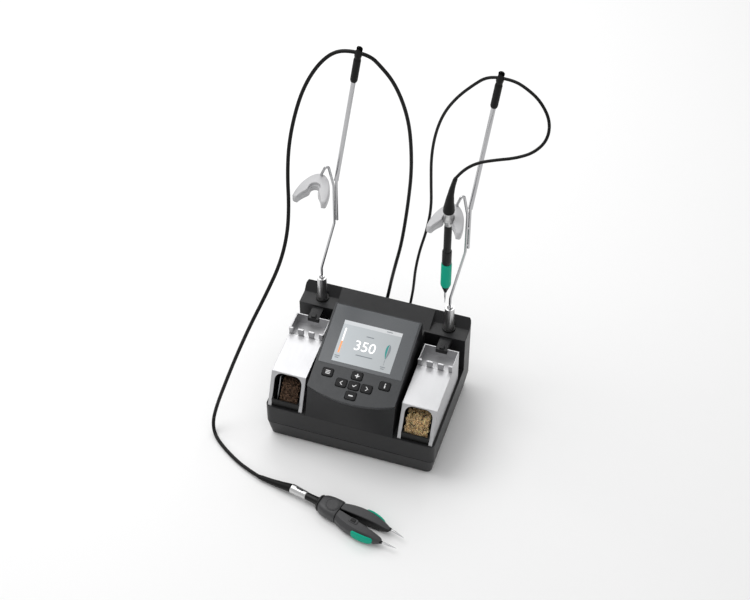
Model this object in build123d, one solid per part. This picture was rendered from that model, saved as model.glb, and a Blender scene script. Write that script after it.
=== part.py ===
"""Two-tool fine soldering and rework station: one solid per physical piece.

Millimetres, +Z up. The origin is on the floor under the centre of the housing, and the front faces -Y.
"""
import math
import os

from build123d import *

# ---- housing -----------------------------------------------------------------------------------
housing_depth = 152.0
wall = 2.5
corner_radius = 6.0
foot_proud = 2.0
seam_height = 26.0
deck_height = 53.0
tray_taper = 3.5
platform_height = 104.0
block_depth = 29.0
ridge_rise = 11.0
seam_groove = 0.8
seam_groove_depth = 1.0

foot_diameter = 16.0
foot_pocket_depth = 1.5
foot_inset = 24.0
floor_thickness = 3.0
slide_clearance = 0.3
fit_clearance = 0.15

# ---- console -----------------------------------------------------------------------------------
console_width = 105.0
console_tilt = 17.16
console_length = 109.0
console_bow = 9.5
console_thickness = 5.0
console_corner = 1.5
console_back_gap = 9.7
console_back_rise = 25.7
window_side_margin = 2.25
window_length = 75.5
window_margin = 1.0
window_thickness = 1.2
lcd_width = 70.0
lcd_height = 52.6
lcd_frame = 3.0
lcd_centre_v = 45.3
key_width = 13.0
key_height = 10.4
key_radius = 2.4
key_gap = 0.25
key_proud = 0.9
key_flange = 0.7
key_travel = 0.8
key_space_x = 2.1
key_space_v = 2.2
key_row_inset = 12.9
side_key_inset = 18.3
side_key_rise = 8.7
board_thickness = 1.6
board_drop = 7.5
board_inset = 4.5
boss_diameter = 5.0
boss_inset = 8.5
boss_high_v = 9.0
boss_low_inset = 11.0

# ---- tool stands -------------------------------------------------------------------------------
stand_width = 41.5
stand_inner_gap = 5.25
stand_outer_gap = 2.75
sheet = 1.2
cover_front_gap = 2.0
cover_hood_depth = 19.0
cover_back_gap = 44.0
cover_bend_rise = 41.0
cover_back_rise = 43.0
mouth_side_margin = 4.25
mouth_top_margin = 1.4
mouth_radius = 9.0
extractor_depth = 28.0
extractor_rise = 49.0
extractor_bar_rise = 3.0
extractor_shelf_rise = 33.0
extractor_slot_width = 6.0
extractor_slot_depth = 9.0
extractor_slot_wall = 7.0
extractor_notch = 14.0
wool_tray_depth = 50.0
wool_tray_height = 11.0
wool_tray_wall = 1.6
wool_rise = 31.0
wiper_room = 7.0
wiper_rise = 29.0
wiper_thickness = 1.0

# ---- masts -------------------------------------------------------------------------------------
mast_side_inset = 24.0
mast_back_inset = 14.7
left_mast_turn = 58.0
right_mast_turn = 47.0
socket_diameter = 11.4
socket_rise = 35.5
socket_sink = 7.0
socket_floor_rise = 8.0
grommet_diameter = 15.5
grommet_neck = 13.0
grommet_height = 2.0
wire_diameter = 3.2
wire_gap = 0.1
mast_bend_low = 155.4
mast_lean = 16.5
mast_bend_high = 225.5
hook_foot = 283.0
hook_apex = (10.3, 319.0)
hook_end_r = 3.3
hook_end_z = 304.2
hook_pin_depth = 7.5
crimp_low = 235.6
crimp_high = 262.5
tube_wall = 1.05
tube_foot_z = 291.0
tube_top = (42.0, 438.0)
tube_overlap = 25.0
cap_wall = 1.45
cap_foot_z = 430.0
cap_top_z = 474.0
cord_seat_z = 467.0
cord_notch_gap = 1.0
cap_waist_z = 458.0
cap_waist_cut = 0.6

rest_offset_x = 1.5
rest_offset_y = 17.8
rest_top = 302.0
rest_thickness = 10.5
rest_back = 23.5
rest_reach = 23.0
rest_half_width = 19.5
rest_mouth = 15.0
rest_slot_gap = 0.55
rest_hole_gap = 0.65
rest_seat_gap = 0.7
rest_seat_depth = 3.0

# ---- soldering handle --------------------------------------------------------------------------
handle_tip_z = 166.0
cartridge_top_z = 184.0
nose_top_z = 195.0
grip_top_z = 231.0
sleeve_top_z = 251.0
collar_foot_z = 291.0
collar_top_z = 310.0
boot_top_z = 362.0
grip_diameter = 12.0
sleeve_step = 1.1
barrel_diameter = 8.7
collar_wall = 0.2
shoulder_width = 2.05
boot_flare = 1.95
boot_lean = 6.0
boot_tilt = 28.0
cartridge_diameter = 2.4

# ---- tweezers ----------------------------------------------------------------------------------
tweezer_x = 9.3
tweezer_y = -160.7
tweezer_turn = -13.4
tweezer_thickness = 18.0
tweezer_body_radius = 14.0
tweezer_neck_start = -35.0
tweezer_collar_start = -55.5
tweezer_neck_radius = 4.6
tweezer_collar_radius = 5.6
arm_gap = 0.7
arm_start = 10.0
arm_end = 70.0
arm_pivot_t = 5.5
arm_pivot_s = 6.5
arm_pin_diameter = 3.0
arm_tongue_low = 6.5
arm_tongue_high = 12.5
tip_length = 19.0
tip_diameter = 2.4
pad_depth = 1.2
tweezer_boot_start = (-87.2, -141.1, 4.6)

# ---- cords -------------------------------------------------------------------------------------
left_cord_diameter = 4.2
right_cord_diameter = 3.4
cord_arc_share = 0.45
plug_length = 24.0
plug_diameter = 13.0
plug_height = 50.0
left_plug_x = -18.0
right_plug_x = 12.0

# ---- rear --------------------------------------------------------------------------------------
rear_panel_inset = 20.0
rear_panel_height = 60.0
rear_panel_thickness = 1.5
rear_panel_z = 57.0
rear_opening_margin = 5.0
inlet_width = 48.0
inlet_height = 28.0
inlet_x = -50.0
rocker_width = 11.0
rocker_height = 22.0
rocker_offset = 14.0
rocker_tilt = 8.0
earth_x = 62.0
earth_bore = 4.0
earth_depth = 14.0
screw_head_diameter = 6.0
screw_shank_diameter = 3.0
screw_length = 7.0
tool_socket_wall = 1.0

# ---- inside ------------------------------------------------------------------------------------
pillar_height = 6.0
main_board_side_gap = 10.0
main_board_front_gap = 16.0
main_board_back_gap = 42.0
transformer_diameter = 58.0
transformer_bore = 16.0
transformer_height = 34.0
transformer_inset = 36.0
transformer_gap = 9.0

# ---- values that follow from the sizes above ---------------------------------------------------
tower_half = console_width / 2
stand_half = stand_width / 2
stand_x = tower_half + stand_inner_gap + stand_half
half_width = stand_x + stand_half + stand_outer_gap
half_depth = housing_depth / 2
front_y = -half_depth
back_y = half_depth
block_front_y = back_y - block_depth
ridge_foot_y = back_y - ridge_rise
housing_width = 2 * half_width
rear_panel_width = housing_width - 2 * rear_panel_inset
window_width = console_width - 2 * window_side_margin
window_centre_v = window_margin + window_length / 2
console_back_y = block_front_y - console_back_gap
console_back_z = platform_height + console_back_rise
console = Plane(
    origin=(0, console_back_y, console_back_z),
    x_dir=(1, 0, 0),
    z_dir=(0, -math.sin(math.radians(console_tilt)), math.cos(math.radians(console_tilt))),
)
floor_top = foot_proud + floor_thickness
panel_face_y = back_y + rear_panel_thickness
key_pitch_x = key_width + key_space_x
key_pitch_v = key_height + key_space_v
key_row_v = console_length - key_row_inset
side_key_x = tower_half - side_key_inset
side_key_v = key_row_v - side_key_rise
cover_front_y = front_y + cover_front_gap
cover_bend_y = cover_front_y + cover_hood_depth
cover_back_y = block_front_y - cover_back_gap
cover_bend_z = deck_height + cover_bend_rise
cover_back_z = deck_height + cover_back_rise
mouth_width = stand_width - 2 * mouth_side_margin
mouth_top_z = cover_bend_z - mouth_top_margin
extractor_top = deck_height + extractor_rise
extractor_bar_top = extractor_top + extractor_bar_rise
extractor_shelf_z = deck_height + extractor_shelf_rise
extractor_slot_pitch = extractor_slot_width + extractor_slot_wall
wool_top = deck_height + wool_rise
mast_x = half_width - mast_side_inset
mast_y = back_y - mast_back_inset
socket_top = platform_height + socket_rise
socket_bottom = platform_height - socket_sink
socket_floor = platform_height + socket_floor_rise
wire_radius = wire_diameter / 2
tube_diameter = wire_diameter + 2 * tube_wall
cap_diameter = tube_diameter + 2 * cap_wall
cap_waist_diameter = cap_diameter - 2 * cap_waist_cut
cord_notch = left_cord_diameter + cord_notch_gap
rest_x = mast_x - rest_offset_x
rest_y = mast_y - rest_offset_y
collar_diameter = barrel_diameter + 2 * collar_wall
shoulder_diameter = collar_diameter + 2 * shoulder_width
sleeve_diameter = barrel_diameter + 2 * sleeve_step
boot_diameter = collar_diameter + 2 * boot_flare
rest_hole_diameter = collar_diameter + 2 * rest_hole_gap
rest_slot = barrel_diameter + 2 * rest_slot_gap
rest_seat_diameter = shoulder_diameter + 2 * rest_seat_gap
rocker_x = inlet_x - rocker_offset
tool_socket_radius = plug_diameter / 2 + tool_socket_wall
pillar_top = floor_top + pillar_height
transformer_x = half_width - transformer_inset
main_board_box = (
    -half_width + main_board_side_gap, transformer_x - transformer_diameter / 2 - transformer_gap,
    front_y + main_board_front_gap, back_y - main_board_back_gap)
tweezer_frame = Location((tweezer_x, tweezer_y, 0), (0, 0, tweezer_turn))


def block(x0, x1, y0, y1, z0, z1):
    """A box between two corners."""
    return Pos((x0 + x1) / 2, (y0 + y1) / 2, (z0 + z1) / 2) * Box(x1 - x0, y1 - y0, z1 - z0)


def rod(x, y, z0, z1, diameter):
    """An upright cylinder."""
    return Pos(x, y, (z0 + z1) / 2) * Cylinder(diameter / 2, z1 - z0)


def turned(profile, x=0.0, y=0.0):
    """A solid of revolution about an upright line; the profile is (radius, height) points."""
    face = make_face(Polyline(*[(r, 0, z) for r, z in profile], close=True))
    return Pos(x, y, 0) * revolve(face, Axis.Z)


def side_prism(points, half):
    """A prism along X from a (y, z) outline, centred on X = 0."""
    face = make_face(Polyline(*[(0, y, z) for y, z in points], close=True))
    return extrude(face, half, both=True)


def plan_prism(points, z0, z1):
    """A prism along Z from an (x, y) outline."""
    face = make_face(Polyline(*[(x, y, z0) for x, y in points], close=True))
    return extrude(face, z1 - z0, dir=(0, 0, 1))


def solid_of(shape):
    """The one solid that a boolean left."""
    solids = shape.solids()
    assert len(solids) == 1, "expected one solid, found %d" % len(solids)
    return solids[0]


def on_console(u, v, w0, w1, width, length, radius=0.0):
    """A plate in the console's own axes: u across, v down the slope, w out of it."""
    outline = RectangleRounded(width, length, radius) if radius else Rectangle(width, length)
    return console * Pos(u, -v, w0) * extrude(outline, w1 - w0)


def key_places():
    """Name and centre of each key, across and down the console."""
    return {
        "key_menu": (-side_key_x, side_key_v),
        "key_plus": (0.0, key_row_v - key_pitch_v),
        "key_back": (-key_pitch_x, key_row_v),
        "key_ok": (0.0, key_row_v),
        "key_next": (key_pitch_x, key_row_v),
        "key_minus": (0.0, key_row_v + key_pitch_v),
        "key_info": (side_key_x, side_key_v),
    }


# ---- housing -----------------------------------------------------------------------------------
def foot_places():
    """Centres of the four feet."""
    x = half_width - foot_inset
    y = half_depth - foot_inset
    return [(-x, -y), (x, -y), (-x, y), (x, y)]


def base_tray():
    """Lower shell: tapered tub with foot pockets and board pillars."""
    def section(inset, z):
        return Pos(0, 0, z) * RectangleRounded(
            housing_width - 2 * inset, housing_depth - 2 * inset, corner_radius)
    outer = loft([section(tray_taper, foot_proud), section(0, seam_height - seam_groove)])
    outer += Pos(0, 0, seam_height - seam_groove) * extrude(RectangleRounded(
        housing_width - 2 * seam_groove_depth, housing_depth - 2 * seam_groove_depth,
        corner_radius - seam_groove_depth), seam_groove)
    share = floor_thickness / (seam_height - foot_proud)
    inner = loft([
        section(wall + tray_taper * (1 - share), floor_top),
        section(wall, seam_height),
    ])
    shell = outer - inner
    for x, y in foot_places():
        pocket = rod(x, y, foot_proud, foot_proud + foot_pocket_depth, foot_diameter + 2 * slide_clearance)
        shell -= pocket
    for x, y in pillar_places():
        shell += rod(x, y, floor_top, pillar_top, boss_diameter)
    return solid_of(shell)


def pillar_places():
    """Pillars under the main board's corners."""
    x0, x1, y0, y1 = main_board_box
    inset = boss_diameter
    return [(x, y) for x in (x0 + inset, x1 - inset) for y in (y0 + inset, y1 - inset)]


def rubber_feet():
    """Four rubber discs, seated in the tray's pockets."""
    return Compound([rod(x, y, 0, foot_proud + foot_pocket_depth, foot_diameter) for x, y in foot_places()])


def bowed_outline(inset):
    """Outline of the console in its own axes, pulled in at the sides, with its bowed lower edge."""
    half = console_width / 2 - inset
    low = -(console_length - inset)
    sides = Polyline((-half, low), (-half, -inset), (half, -inset), (half, low))
    bow = ThreePointArc((half, low), (0, low - console_bow), (-half, low))
    return make_face([sides, bow])


def tower(inset, foot_z, top_w):
    """Loft from a rectangle on the deck up to the console's bowed outline."""
    y0 = front_y + inset
    y1 = console_back_y - inset
    foot = Pos(0, (y0 + y1) / 2, foot_z) * Rectangle(console_width - 2 * inset, y1 - y0)
    top = console * Pos(0, 0, top_w) * bowed_outline(inset)
    return loft([foot, top], ruled=True)


def ridge(foot_y, half):
    """Sloped ridge on the rear block, from a foot line up to the back edge, with rounded rear corners."""
    top = platform_height + ridge_rise
    solid = side_prism([(foot_y, platform_height - 1), (foot_y, platform_height), (back_y - 1, top), (
        back_y, top - 1), (back_y, platform_height - 1)], half)
    return solid & (Pos(0, 0, platform_height - 1) * extrude(
        RectangleRounded(housing_width, housing_depth, corner_radius), ridge_rise + 2))


def upper_housing():
    """Upper shell: deck, rear block with its ridge, and the tower that carries the console."""
    body = Pos(0, 0, seam_height) * extrude(
        RectangleRounded(housing_width, housing_depth, corner_radius), deck_height - seam_height)
    rear = block(-half_width, half_width, block_front_y, back_y, deck_height, platform_height)
    edges = rear.edges().filter_by(Axis.Z).filter_by_position(Axis.Y, back_y - 1, back_y + 1)
    body += fillet(edges, corner_radius)
    for foot_y, half in ((ridge_foot_y, half_width), (block_front_y + wall, tower_half + stand_inner_gap)):
        body += ridge(foot_y, half)
    body += tower(0, deck_height, -console_thickness)
    body += side_prism([
        (console_back_y - wall, deck_height), (console_back_y - wall, platform_height),
        (block_front_y + wall, platform_height), (block_front_y + wall, deck_height),
    ], tower_half)
    cavity = Pos(0, 0, seam_height) * extrude(
        RectangleRounded(housing_width - 2 * wall, housing_depth - 2 * wall, corner_radius - wall),
        deck_height - wall - seam_height)
    body -= cavity
    body -= block(
        -half_width + wall, half_width - wall, block_front_y + wall, back_y - wall,
        deck_height - 2 * wall, platform_height - wall)
    body -= tower(wall, deck_height - 2 * wall, 1 - console_thickness)
    body -= block(
        -tower_half + wall, tower_half - wall, console_back_y - 3 * wall, block_front_y + 2 * wall,
        deck_height - 2 * wall, platform_height - wall)
    for side in (-1, 1):
        body += extractor_lug(side)
        body -= rod(side * mast_x, mast_y, platform_height - 2 * wall, platform_height + 1, grommet_neck)
        body -= rod(side * mast_x, mast_y, platform_height, platform_height + 20, grommet_diameter + 1.0)
    opening_w = rear_panel_width - 2 * rear_opening_margin
    opening_h = rear_panel_height - 2 * rear_opening_margin
    body -= block(
        -opening_w / 2, opening_w / 2, back_y - 2 * wall, back_y + 1,
        rear_panel_z - opening_h / 2, rear_panel_z + opening_h / 2)
    for x, z in screw_places():
        body -= Pos(x, back_y, z) * Rot(90, 0, 0) * Cylinder(screw_shank_diameter / 2 + fit_clearance, 4 * wall)
    return solid_of(body)


# ---- console -----------------------------------------------------------------------------------
def console_bezel():
    """Plate that frames the window and the keys."""
    plate = extrude(bowed_outline(0), -console_thickness)
    plate = fillet(plate.edges().filter_by(Axis.Z), console_corner)
    plate = console * plate
    plate -= on_console(0, window_centre_v, -window_thickness, 1, window_width, window_length)
    screen_w = lcd_width + 2 * lcd_frame + 2 * fit_clearance
    screen_h = lcd_height + 2 * lcd_frame + 2 * fit_clearance
    plate -= on_console(0, lcd_centre_v, -2 * console_thickness, 0, screen_w, screen_h)
    for u, v in key_places().values():
        plate -= on_console(
            u, v, -2 * console_thickness, 1, key_width + 2 * key_gap, key_height + 2 * key_gap, key_radius)
    for u, v in board_boss_places():
        boss = console * Pos(u, -v, -board_drop) * extrude(Circle(boss_diameter / 2), board_drop - console_thickness)
        plate += boss
    return solid_of(plate)


def board_boss_places():
    """Bosses that carry the key board."""
    x = tower_half - boss_inset
    return [(side * x, v) for side in (-1, 1) for v in (boss_high_v, console_length - boss_low_inset)]


def display_window():
    """Dark clear panel over the screen, let into the bezel."""
    gap = 2 * fit_clearance
    return solid_of(on_console(
        0, window_centre_v, -window_thickness, 0, window_width - gap, window_length - gap))


def lcd_module():
    """Screen module between the window and the key board."""
    return solid_of(on_console(
        0, lcd_centre_v, -board_drop, -window_thickness, lcd_width + 2 * lcd_frame, lcd_height + 2 * lcd_frame))


def key_board():
    """Circuit board under the keys, with a switch under each."""
    board = console * Pos(0, 0, -board_drop) * extrude(bowed_outline(board_inset), -board_thickness)
    switch_height = board_drop - console_thickness - key_flange - 2 * key_gap - key_travel
    for u, v in key_places().values():
        board += console * Pos(u, -v, -board_drop) * extrude(Circle(2.5), switch_height)
    return solid_of(board)


def key(u, v):
    """Key cap with the flange that keeps it under the bezel."""
    cap = on_console(u, v, -console_thickness - key_gap, key_proud, key_width, key_height, key_radius)
    flange_low = -console_thickness - key_gap - key_flange
    cap += on_console(
        u, v, flange_low, -console_thickness - key_gap, key_width + 2 * key_flange, key_height + 2 * key_flange)
    return solid_of(cap)


# ---- tool stands -------------------------------------------------------------------------------
def cover_outline(inset):
    """Side outline of the stand cover."""
    return [
        (cover_front_y + inset, deck_height),
        (cover_bend_y + inset, cover_bend_z - inset),
        (cover_back_y, cover_back_z - inset),
        (cover_back_y, deck_height),
    ]


def stand_cover(side):
    """Folded sheet cover with an arched mouth, open below and behind."""
    shell = side_prism(cover_outline(0), stand_half)
    inner = cover_outline(sheet)
    inner = [inner[0], inner[1], (cover_back_y + 1, inner[2][1]), (cover_back_y + 1, deck_height - 1), (
        inner[0][0], deck_height - 1)]
    shell -= side_prism(inner, stand_half - sheet)
    half = mouth_width / 2
    depth = cover_bend_y - cover_front_y
    mouth = block(
        -half, half, cover_front_y - depth, cover_bend_y + depth / 2, deck_height - 2 * mouth_radius, mouth_top_z)
    mouth = fillet(mouth.edges().filter_by(Axis.Y), mouth_radius)
    shell -= mouth
    return solid_of(Pos(side * stand_x, 0, 0) * shell)


def tray_width():
    """Inside width left for a wool tray between the cover's walls."""
    return mouth_width - 2 * slide_clearance


def wool_tray(side):
    """Shallow open tray that slides out under the cover's mouth."""
    half = tray_width() / 2
    y0 = cover_front_y + 1.0
    y1 = y0 + wool_tray_depth
    shell = block(-half, half, y0, y1, deck_height, deck_height + wool_tray_height)
    shell -= block(
        -half + wool_tray_wall, half - wool_tray_wall, y0 + wool_tray_wall, y1 - wool_tray_wall,
        deck_height + wool_tray_wall, deck_height + wool_tray_height + 1)
    return solid_of(Pos(side * stand_x, 0, 0) * shell)


def brass_wool(side):
    """Plain body of the tip-cleaning wool, standing in its tray."""
    half = tray_width() / 2 - wool_tray_wall
    low = -half + (wiper_room if side < 0 else 0.0)
    y0 = cover_front_y + 1.0 + wool_tray_wall
    y1 = y0 + wool_tray_depth - 2 * wool_tray_wall
    z0 = deck_height + wool_tray_wall
    pad = side_prism([(y0, z0), (y0 + 3, wool_top - 14), (y0 + 14, wool_top), (y1, wool_top), (y1, z0)], half)
    pad &= block(low, half, y0 - 1, y1 + 1, z0, wool_top + 1)
    return solid_of(Pos(side * stand_x, 0, 0) * pad)


def tip_wiper():
    """Springy steel strip beside the left tray's wool."""
    x = -stand_x - tray_width() / 2 + wool_tray_wall + 3.0
    y0 = cover_front_y + 6.0
    z0 = deck_height + wool_tray_wall
    z1 = deck_height + wiper_rise
    strip = side_prism([(y0, z0), (y0 + 16, z1), (y0 + 22, z1), (y0 + 6, z0)], wiper_thickness / 2)
    return solid_of(Pos(x, 0, 0) * strip)


def extractor(side):
    """Sheet bracket with three slots that grip a tip while the handle is pulled off it."""
    y0 = cover_back_y + slide_clearance
    y1 = y0 + extractor_depth
    shell = block(-stand_half, stand_half, y0, y1, deck_height, extractor_top)
    shell -= block(-stand_half + sheet, stand_half - sheet, y0 + sheet, y1 - sheet, deck_height - 1, extractor_top + 1)
    shelf = extractor_shelf_z
    shell += block(-stand_half, stand_half, y0 + sheet, y1 - sheet, shelf, shelf + sheet)
    shell += block(-stand_half, stand_half, y0, y0 + 2 * sheet, shelf + 2.0, extractor_bar_top)
    for i in (-1, 0, 1):
        x = i * extractor_slot_pitch
        half = extractor_slot_width / 2
        z = extractor_bar_top - extractor_slot_depth
        shell -= block(x - half, x + half, y0 - 1, y0 + 4 * sheet, z, extractor_bar_top + 1)
        shell -= Pos(x, y0, z) * Rot(90, 0, 0) * Cylinder(half + 0.8, 8 * sheet)
    shell -= block(-extractor_notch / 2, extractor_notch / 2, y1 - 4, y1 + 1, extractor_top - 7, extractor_top + 1)
    return solid_of(Pos(side * stand_x, 0, 0) * shell)


def cartridge_extractors():
    """The left and right extractor brackets."""
    return Compound([extractor(-1), extractor(1)])


def extractor_lug(side):
    """Moulded lug on the rear block that reaches into an extractor's notch."""
    y0 = cover_back_y + slide_clearance + extractor_depth - 3.0
    x = side * stand_x
    half = extractor_notch / 2 - slide_clearance
    lug = block(x - half, x + half, y0, block_front_y + 1, extractor_top - 6.5, extractor_top - 1.0)
    return lug + block(x - 2.5, x + 2.5, y0 + 1, y0 + 6, extractor_top - 1.0, extractor_top + 1.5)


# ---- masts -------------------------------------------------------------------------------------
def mast_plane(side):
    """Plane of one mast: X runs out along its lean, Y runs up."""
    turn = math.radians(left_mast_turn if side < 0 else right_mast_turn)
    out = (math.sin(turn), math.cos(turn), 0)
    normal = Vector(*out).cross(Vector(0, 0, 1))
    return Plane(origin=(side * mast_x, mast_y, 0), x_dir=out, z_dir=tuple(normal))


def mast_point(side, r, z):
    """A point of a mast from its reach and height."""
    turn = math.radians(left_mast_turn if side < 0 else right_mast_turn)
    return Vector(side * mast_x + r * math.sin(turn), mast_y + r * math.cos(turn), z)


def bent_wire(side, points, radii, diameter):
    """A round wire along a path in a mast's plane."""
    path = FilletPolyline(*[mast_point(side, r, z) for r, z in points], radius=radii)
    start = Plane(origin=path @ 0, z_dir=path % 0)
    return sweep(start * Circle(diameter / 2), path=path)


def spigot_reach():
    """Reach of the second wire, which runs beside the first."""
    return mast_lean + wire_diameter + wire_gap


def tube_reach(z):
    """Reach of the tube's centre line at a height."""
    share = (z - tube_foot_z) / (tube_top[1] - tube_foot_z)
    return spigot_reach() + (tube_top[0] - spigot_reach()) * share


def spigot(side):
    """Second wire, from below the lower weld into the foot of the tube."""
    foot = crimp_low - 6.0
    end_z = tube_foot_z + tube_overlap / 2
    return bent_wire(side, [
        (spigot_reach(), foot), (spigot_reach(), tube_foot_z), (tube_reach(end_z), end_z)], [12.0], wire_diameter)


def mast_rod(side):
    """Main wire: socket end, lean, upright run, hook and pin, with two weld beads."""
    wire = bent_wire(side, [
        (0, socket_floor), (0, mast_bend_low), (mast_lean, mast_bend_high), (mast_lean, hook_foot),
        hook_apex, (hook_end_r, hook_end_z), (hook_end_r, rest_top - hook_pin_depth),
    ], [14.0, 14.0, 12.0, 2.6, 5.0], wire_diameter)
    second = spigot(side)
    for z in (crimp_low, crimp_high):
        centre = mast_point(side, mast_lean + wire_radius, z)
        bead = Pos(*centre) * Cylinder(wire_radius * 0.9, 3.0)
        wire += bead - second
    return solid_of(wire)


def mast_tube(side):
    """Bright tube welded beside the main wire, carried by its own spigot."""
    foot = mast_point(side, spigot_reach(), tube_foot_z)
    top = mast_point(side, *tube_top)
    along = (top - foot).normalized()
    length = (top - foot).length
    outer = Plane(origin=foot, z_dir=along) * Pos(0, 0, length / 2) * Cylinder(tube_diameter / 2, length)
    bore = Plane(origin=foot, z_dir=along) * Pos(0, 0, (length + tube_overlap) / 2 + 1) * Cylinder(
        wire_radius, length - tube_overlap + 2)
    return solid_of(outer - bore + spigot(side))


def cap_frame(side, z):
    """Frame on the tube's axis at a height, Z along the tube."""
    foot = mast_point(side, spigot_reach(), tube_foot_z)
    top = mast_point(side, *tube_top)
    return Plane(origin=mast_point(side, tube_reach(z), z), z_dir=(top - foot).normalized())


def mast_cap(side):
    """Rubber cap on the tube, forked at its top to hold the cord."""
    frame = cap_frame(side, cap_foot_z)
    high = cap_top_z - cap_foot_z
    waist = cap_waist_z - cap_foot_z
    tube_end = mast_point(side, *tube_top)
    socket = (tube_end - frame.origin).length + 1.0
    face = make_face(Polyline(
        (0, 0, 0), (cap_diameter / 2 - 0.6, 0, 0), (cap_diameter / 2, 0, 2.0), (cap_diameter / 2, 0, waist),
        (cap_waist_diameter / 2, 0, waist + 3), (cap_diameter / 2, 0, waist + 6), (cap_diameter / 2, 0, high - 1.5),
        (cap_diameter / 2 - 1.0, 0, high), (0, 0, high), close=True))
    cap = frame * revolve(face, Axis.Z)
    cap -= frame * Pos(0, 0, socket / 2 - 1) * Cylinder(tube_diameter / 2, socket)
    seat = cord_seat(side)
    half = cord_notch / 2
    cap -= block(seat.X - 9, seat.X + 9, seat.Y - half, seat.Y + half, seat.Z, seat.Z + 20)
    cap -= Pos(*seat) * Rot(0, 90, 0) * Cylinder(half, 18)
    return solid_of(cap)


def cord_seat(side):
    """Centre of the cord where it lies in the cap's fork."""
    return mast_point(side, tube_reach(cord_seat_z), cord_seat_z)


def tool_rest(side):
    """Cast rest: a wishbone with a counterbored seat, open at the front for the handle."""
    x = side * rest_x
    low = rest_top - rest_thickness
    half = rest_half_width
    outline = [
        (-6.0, rest_back), (6.0, rest_back), (13.5, 10.0), (half, -rest_reach + 7), (half - 0.5, -rest_reach),
        (rest_mouth, -rest_reach), (rest_slot / 2, -6.0), (-rest_slot / 2, -6.0), (-rest_mouth, -rest_reach),
        (-half + 0.5, -rest_reach), (-half, -rest_reach + 7), (-13.5, 10.0),
    ]
    body = plan_prism([(x + u, rest_y + v) for u, v in outline], low, rest_top)
    body = fillet(body.edges().filter_by(Axis.Z), 1.6)
    body -= rod(x, rest_y, rest_top - rest_seat_depth, rest_top + 1, rest_seat_diameter)
    body -= rod(x, rest_y, low - 1, rest_top + 1, rest_hole_diameter)
    body -= block(x - rest_slot / 2, x + rest_slot / 2, rest_y - rest_reach - 1, rest_y, low - 1, rest_top + 1)
    pin = mast_point(side, hook_end_r, rest_top)
    body -= rod(pin.X, pin.Y, rest_top - hook_pin_depth, rest_top + 1, wire_diameter)
    return solid_of(body)


def mast_sockets():
    """Two metal sockets that the masts turn in."""
    sockets = []
    for side in (-1, 1):
        x = side * mast_x
        tube = rod(x, mast_y, socket_bottom, socket_top, socket_diameter)
        tube -= rod(x, mast_y, socket_floor, socket_top + 1, wire_diameter + 2 * fit_clearance)
        rim = turned([(0, socket_top - 2), (wire_radius + 2.2, socket_top), (0, socket_top)], x, mast_y)
        sockets.append(solid_of(tube - rim))
    return Compound(sockets)


def socket_grommets():
    """Black rings round the sockets."""
    rings = []
    for side in (-1, 1):
        x = side * mast_x
        ring = rod(x, mast_y, platform_height, platform_height + grommet_height, grommet_diameter)
        ring += rod(x, mast_y, platform_height - wall, platform_height, grommet_neck)
        ring -= rod(x, mast_y, 0, socket_top, socket_diameter)
        rings.append(solid_of(ring))
    return Compound(rings)


# ---- soldering handle --------------------------------------------------------------------------
def handle_pieces():
    """The pieces of the handle that hangs in the right rest."""
    x, y = rest_x, rest_y
    r_tip = cartridge_diameter / 2
    r_barrel = barrel_diameter / 2
    r_collar = collar_diameter / 2
    r_sleeve = sleeve_diameter / 2
    r_grip = grip_diameter / 2
    seat_z = rest_top - rest_seat_depth
    core = r_barrel - 1.2
    cartridge = turned([
        (0, handle_tip_z), (0.35, handle_tip_z), (0.8, handle_tip_z + 6), (r_tip * 0.75, handle_tip_z + 9),
        (r_tip, handle_tip_z + 10), (r_tip, nose_top_z), (0, nose_top_z)], x, y)
    nose = turned([
        (r_tip, cartridge_top_z), (r_tip + 0.6, cartridge_top_z), (r_grip - 1.6, nose_top_z - 2),
        (r_grip - 1.4, nose_top_z), (r_tip, nose_top_z)], x, y)
    grip = turned([
        (core, nose_top_z), (r_grip - 0.7, nose_top_z), (r_grip, nose_top_z + 3), (r_grip, grip_top_z - 3),
        (r_grip - 0.3, grip_top_z), (core, grip_top_z)], x, y)
    body = turned([
        (0, nose_top_z), (core, nose_top_z), (core, grip_top_z), (r_sleeve, grip_top_z),
        (r_sleeve, sleeve_top_z - 1.5), (r_barrel, sleeve_top_z), (r_barrel, collar_foot_z),
        (core, collar_foot_z), (core, collar_top_z), (0, collar_top_z)], x, y)
    collar = turned([
        (core, collar_foot_z), (r_collar, collar_foot_z), (r_collar, seat_z),
        (shoulder_diameter / 2, seat_z), (shoulder_diameter / 2, seat_z + 1.6), (r_collar + 0.2, seat_z + 2.4),
        (r_collar, collar_top_z), (core, collar_top_z)], x, y)
    stations = [(0.0, boot_diameter / 2), (0.18, boot_diameter / 2 - 0.2), (0.45, 4.0), (0.72, 2.9), (1.0, 2.3)]
    height = boot_top_z - collar_top_z
    sections = [
        Pos(x + boot_lean * s * s, y, collar_top_z + s * height) * Rot(0, boot_tilt * s * s, 0) * Circle(r)
        for s, r in stations]
    boot = loft(sections)
    return {
        "handle_cartridge": cartridge, "handle_nose": nose, "handle_grip": grip, "handle_body": body,
        "handle_collar": collar, "handle_boot": boot,
    }


# ---- tweezers ----------------------------------------------------------------------------------
def lying_rod(t0, t1, r0, r1):
    """A round length along the tweezers' axis, with a radius at each end."""
    mid = tweezer_thickness / 2
    return Pos((t0 + t1) / 2, 0, mid) * Rot(0, 90, 0) * (
        Cylinder(r0, t1 - t0) if r0 == r1 else Cone(r0, r1, t1 - t0))


def arm_outline(hand):
    """Plan outline of one arm's housing, open end first; hand is -1 for the near arm."""
    points = [
        (arm_start, 0.9), (36, 3.2), (arm_end - 4, 6.0), (arm_end, 6.8), (arm_end, 12.2),
        (58, 16.4), (42, 18.3), (24, 17.6), (arm_start, 13.2)]
    return [(t, hand * s) for t, s in points]


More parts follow.
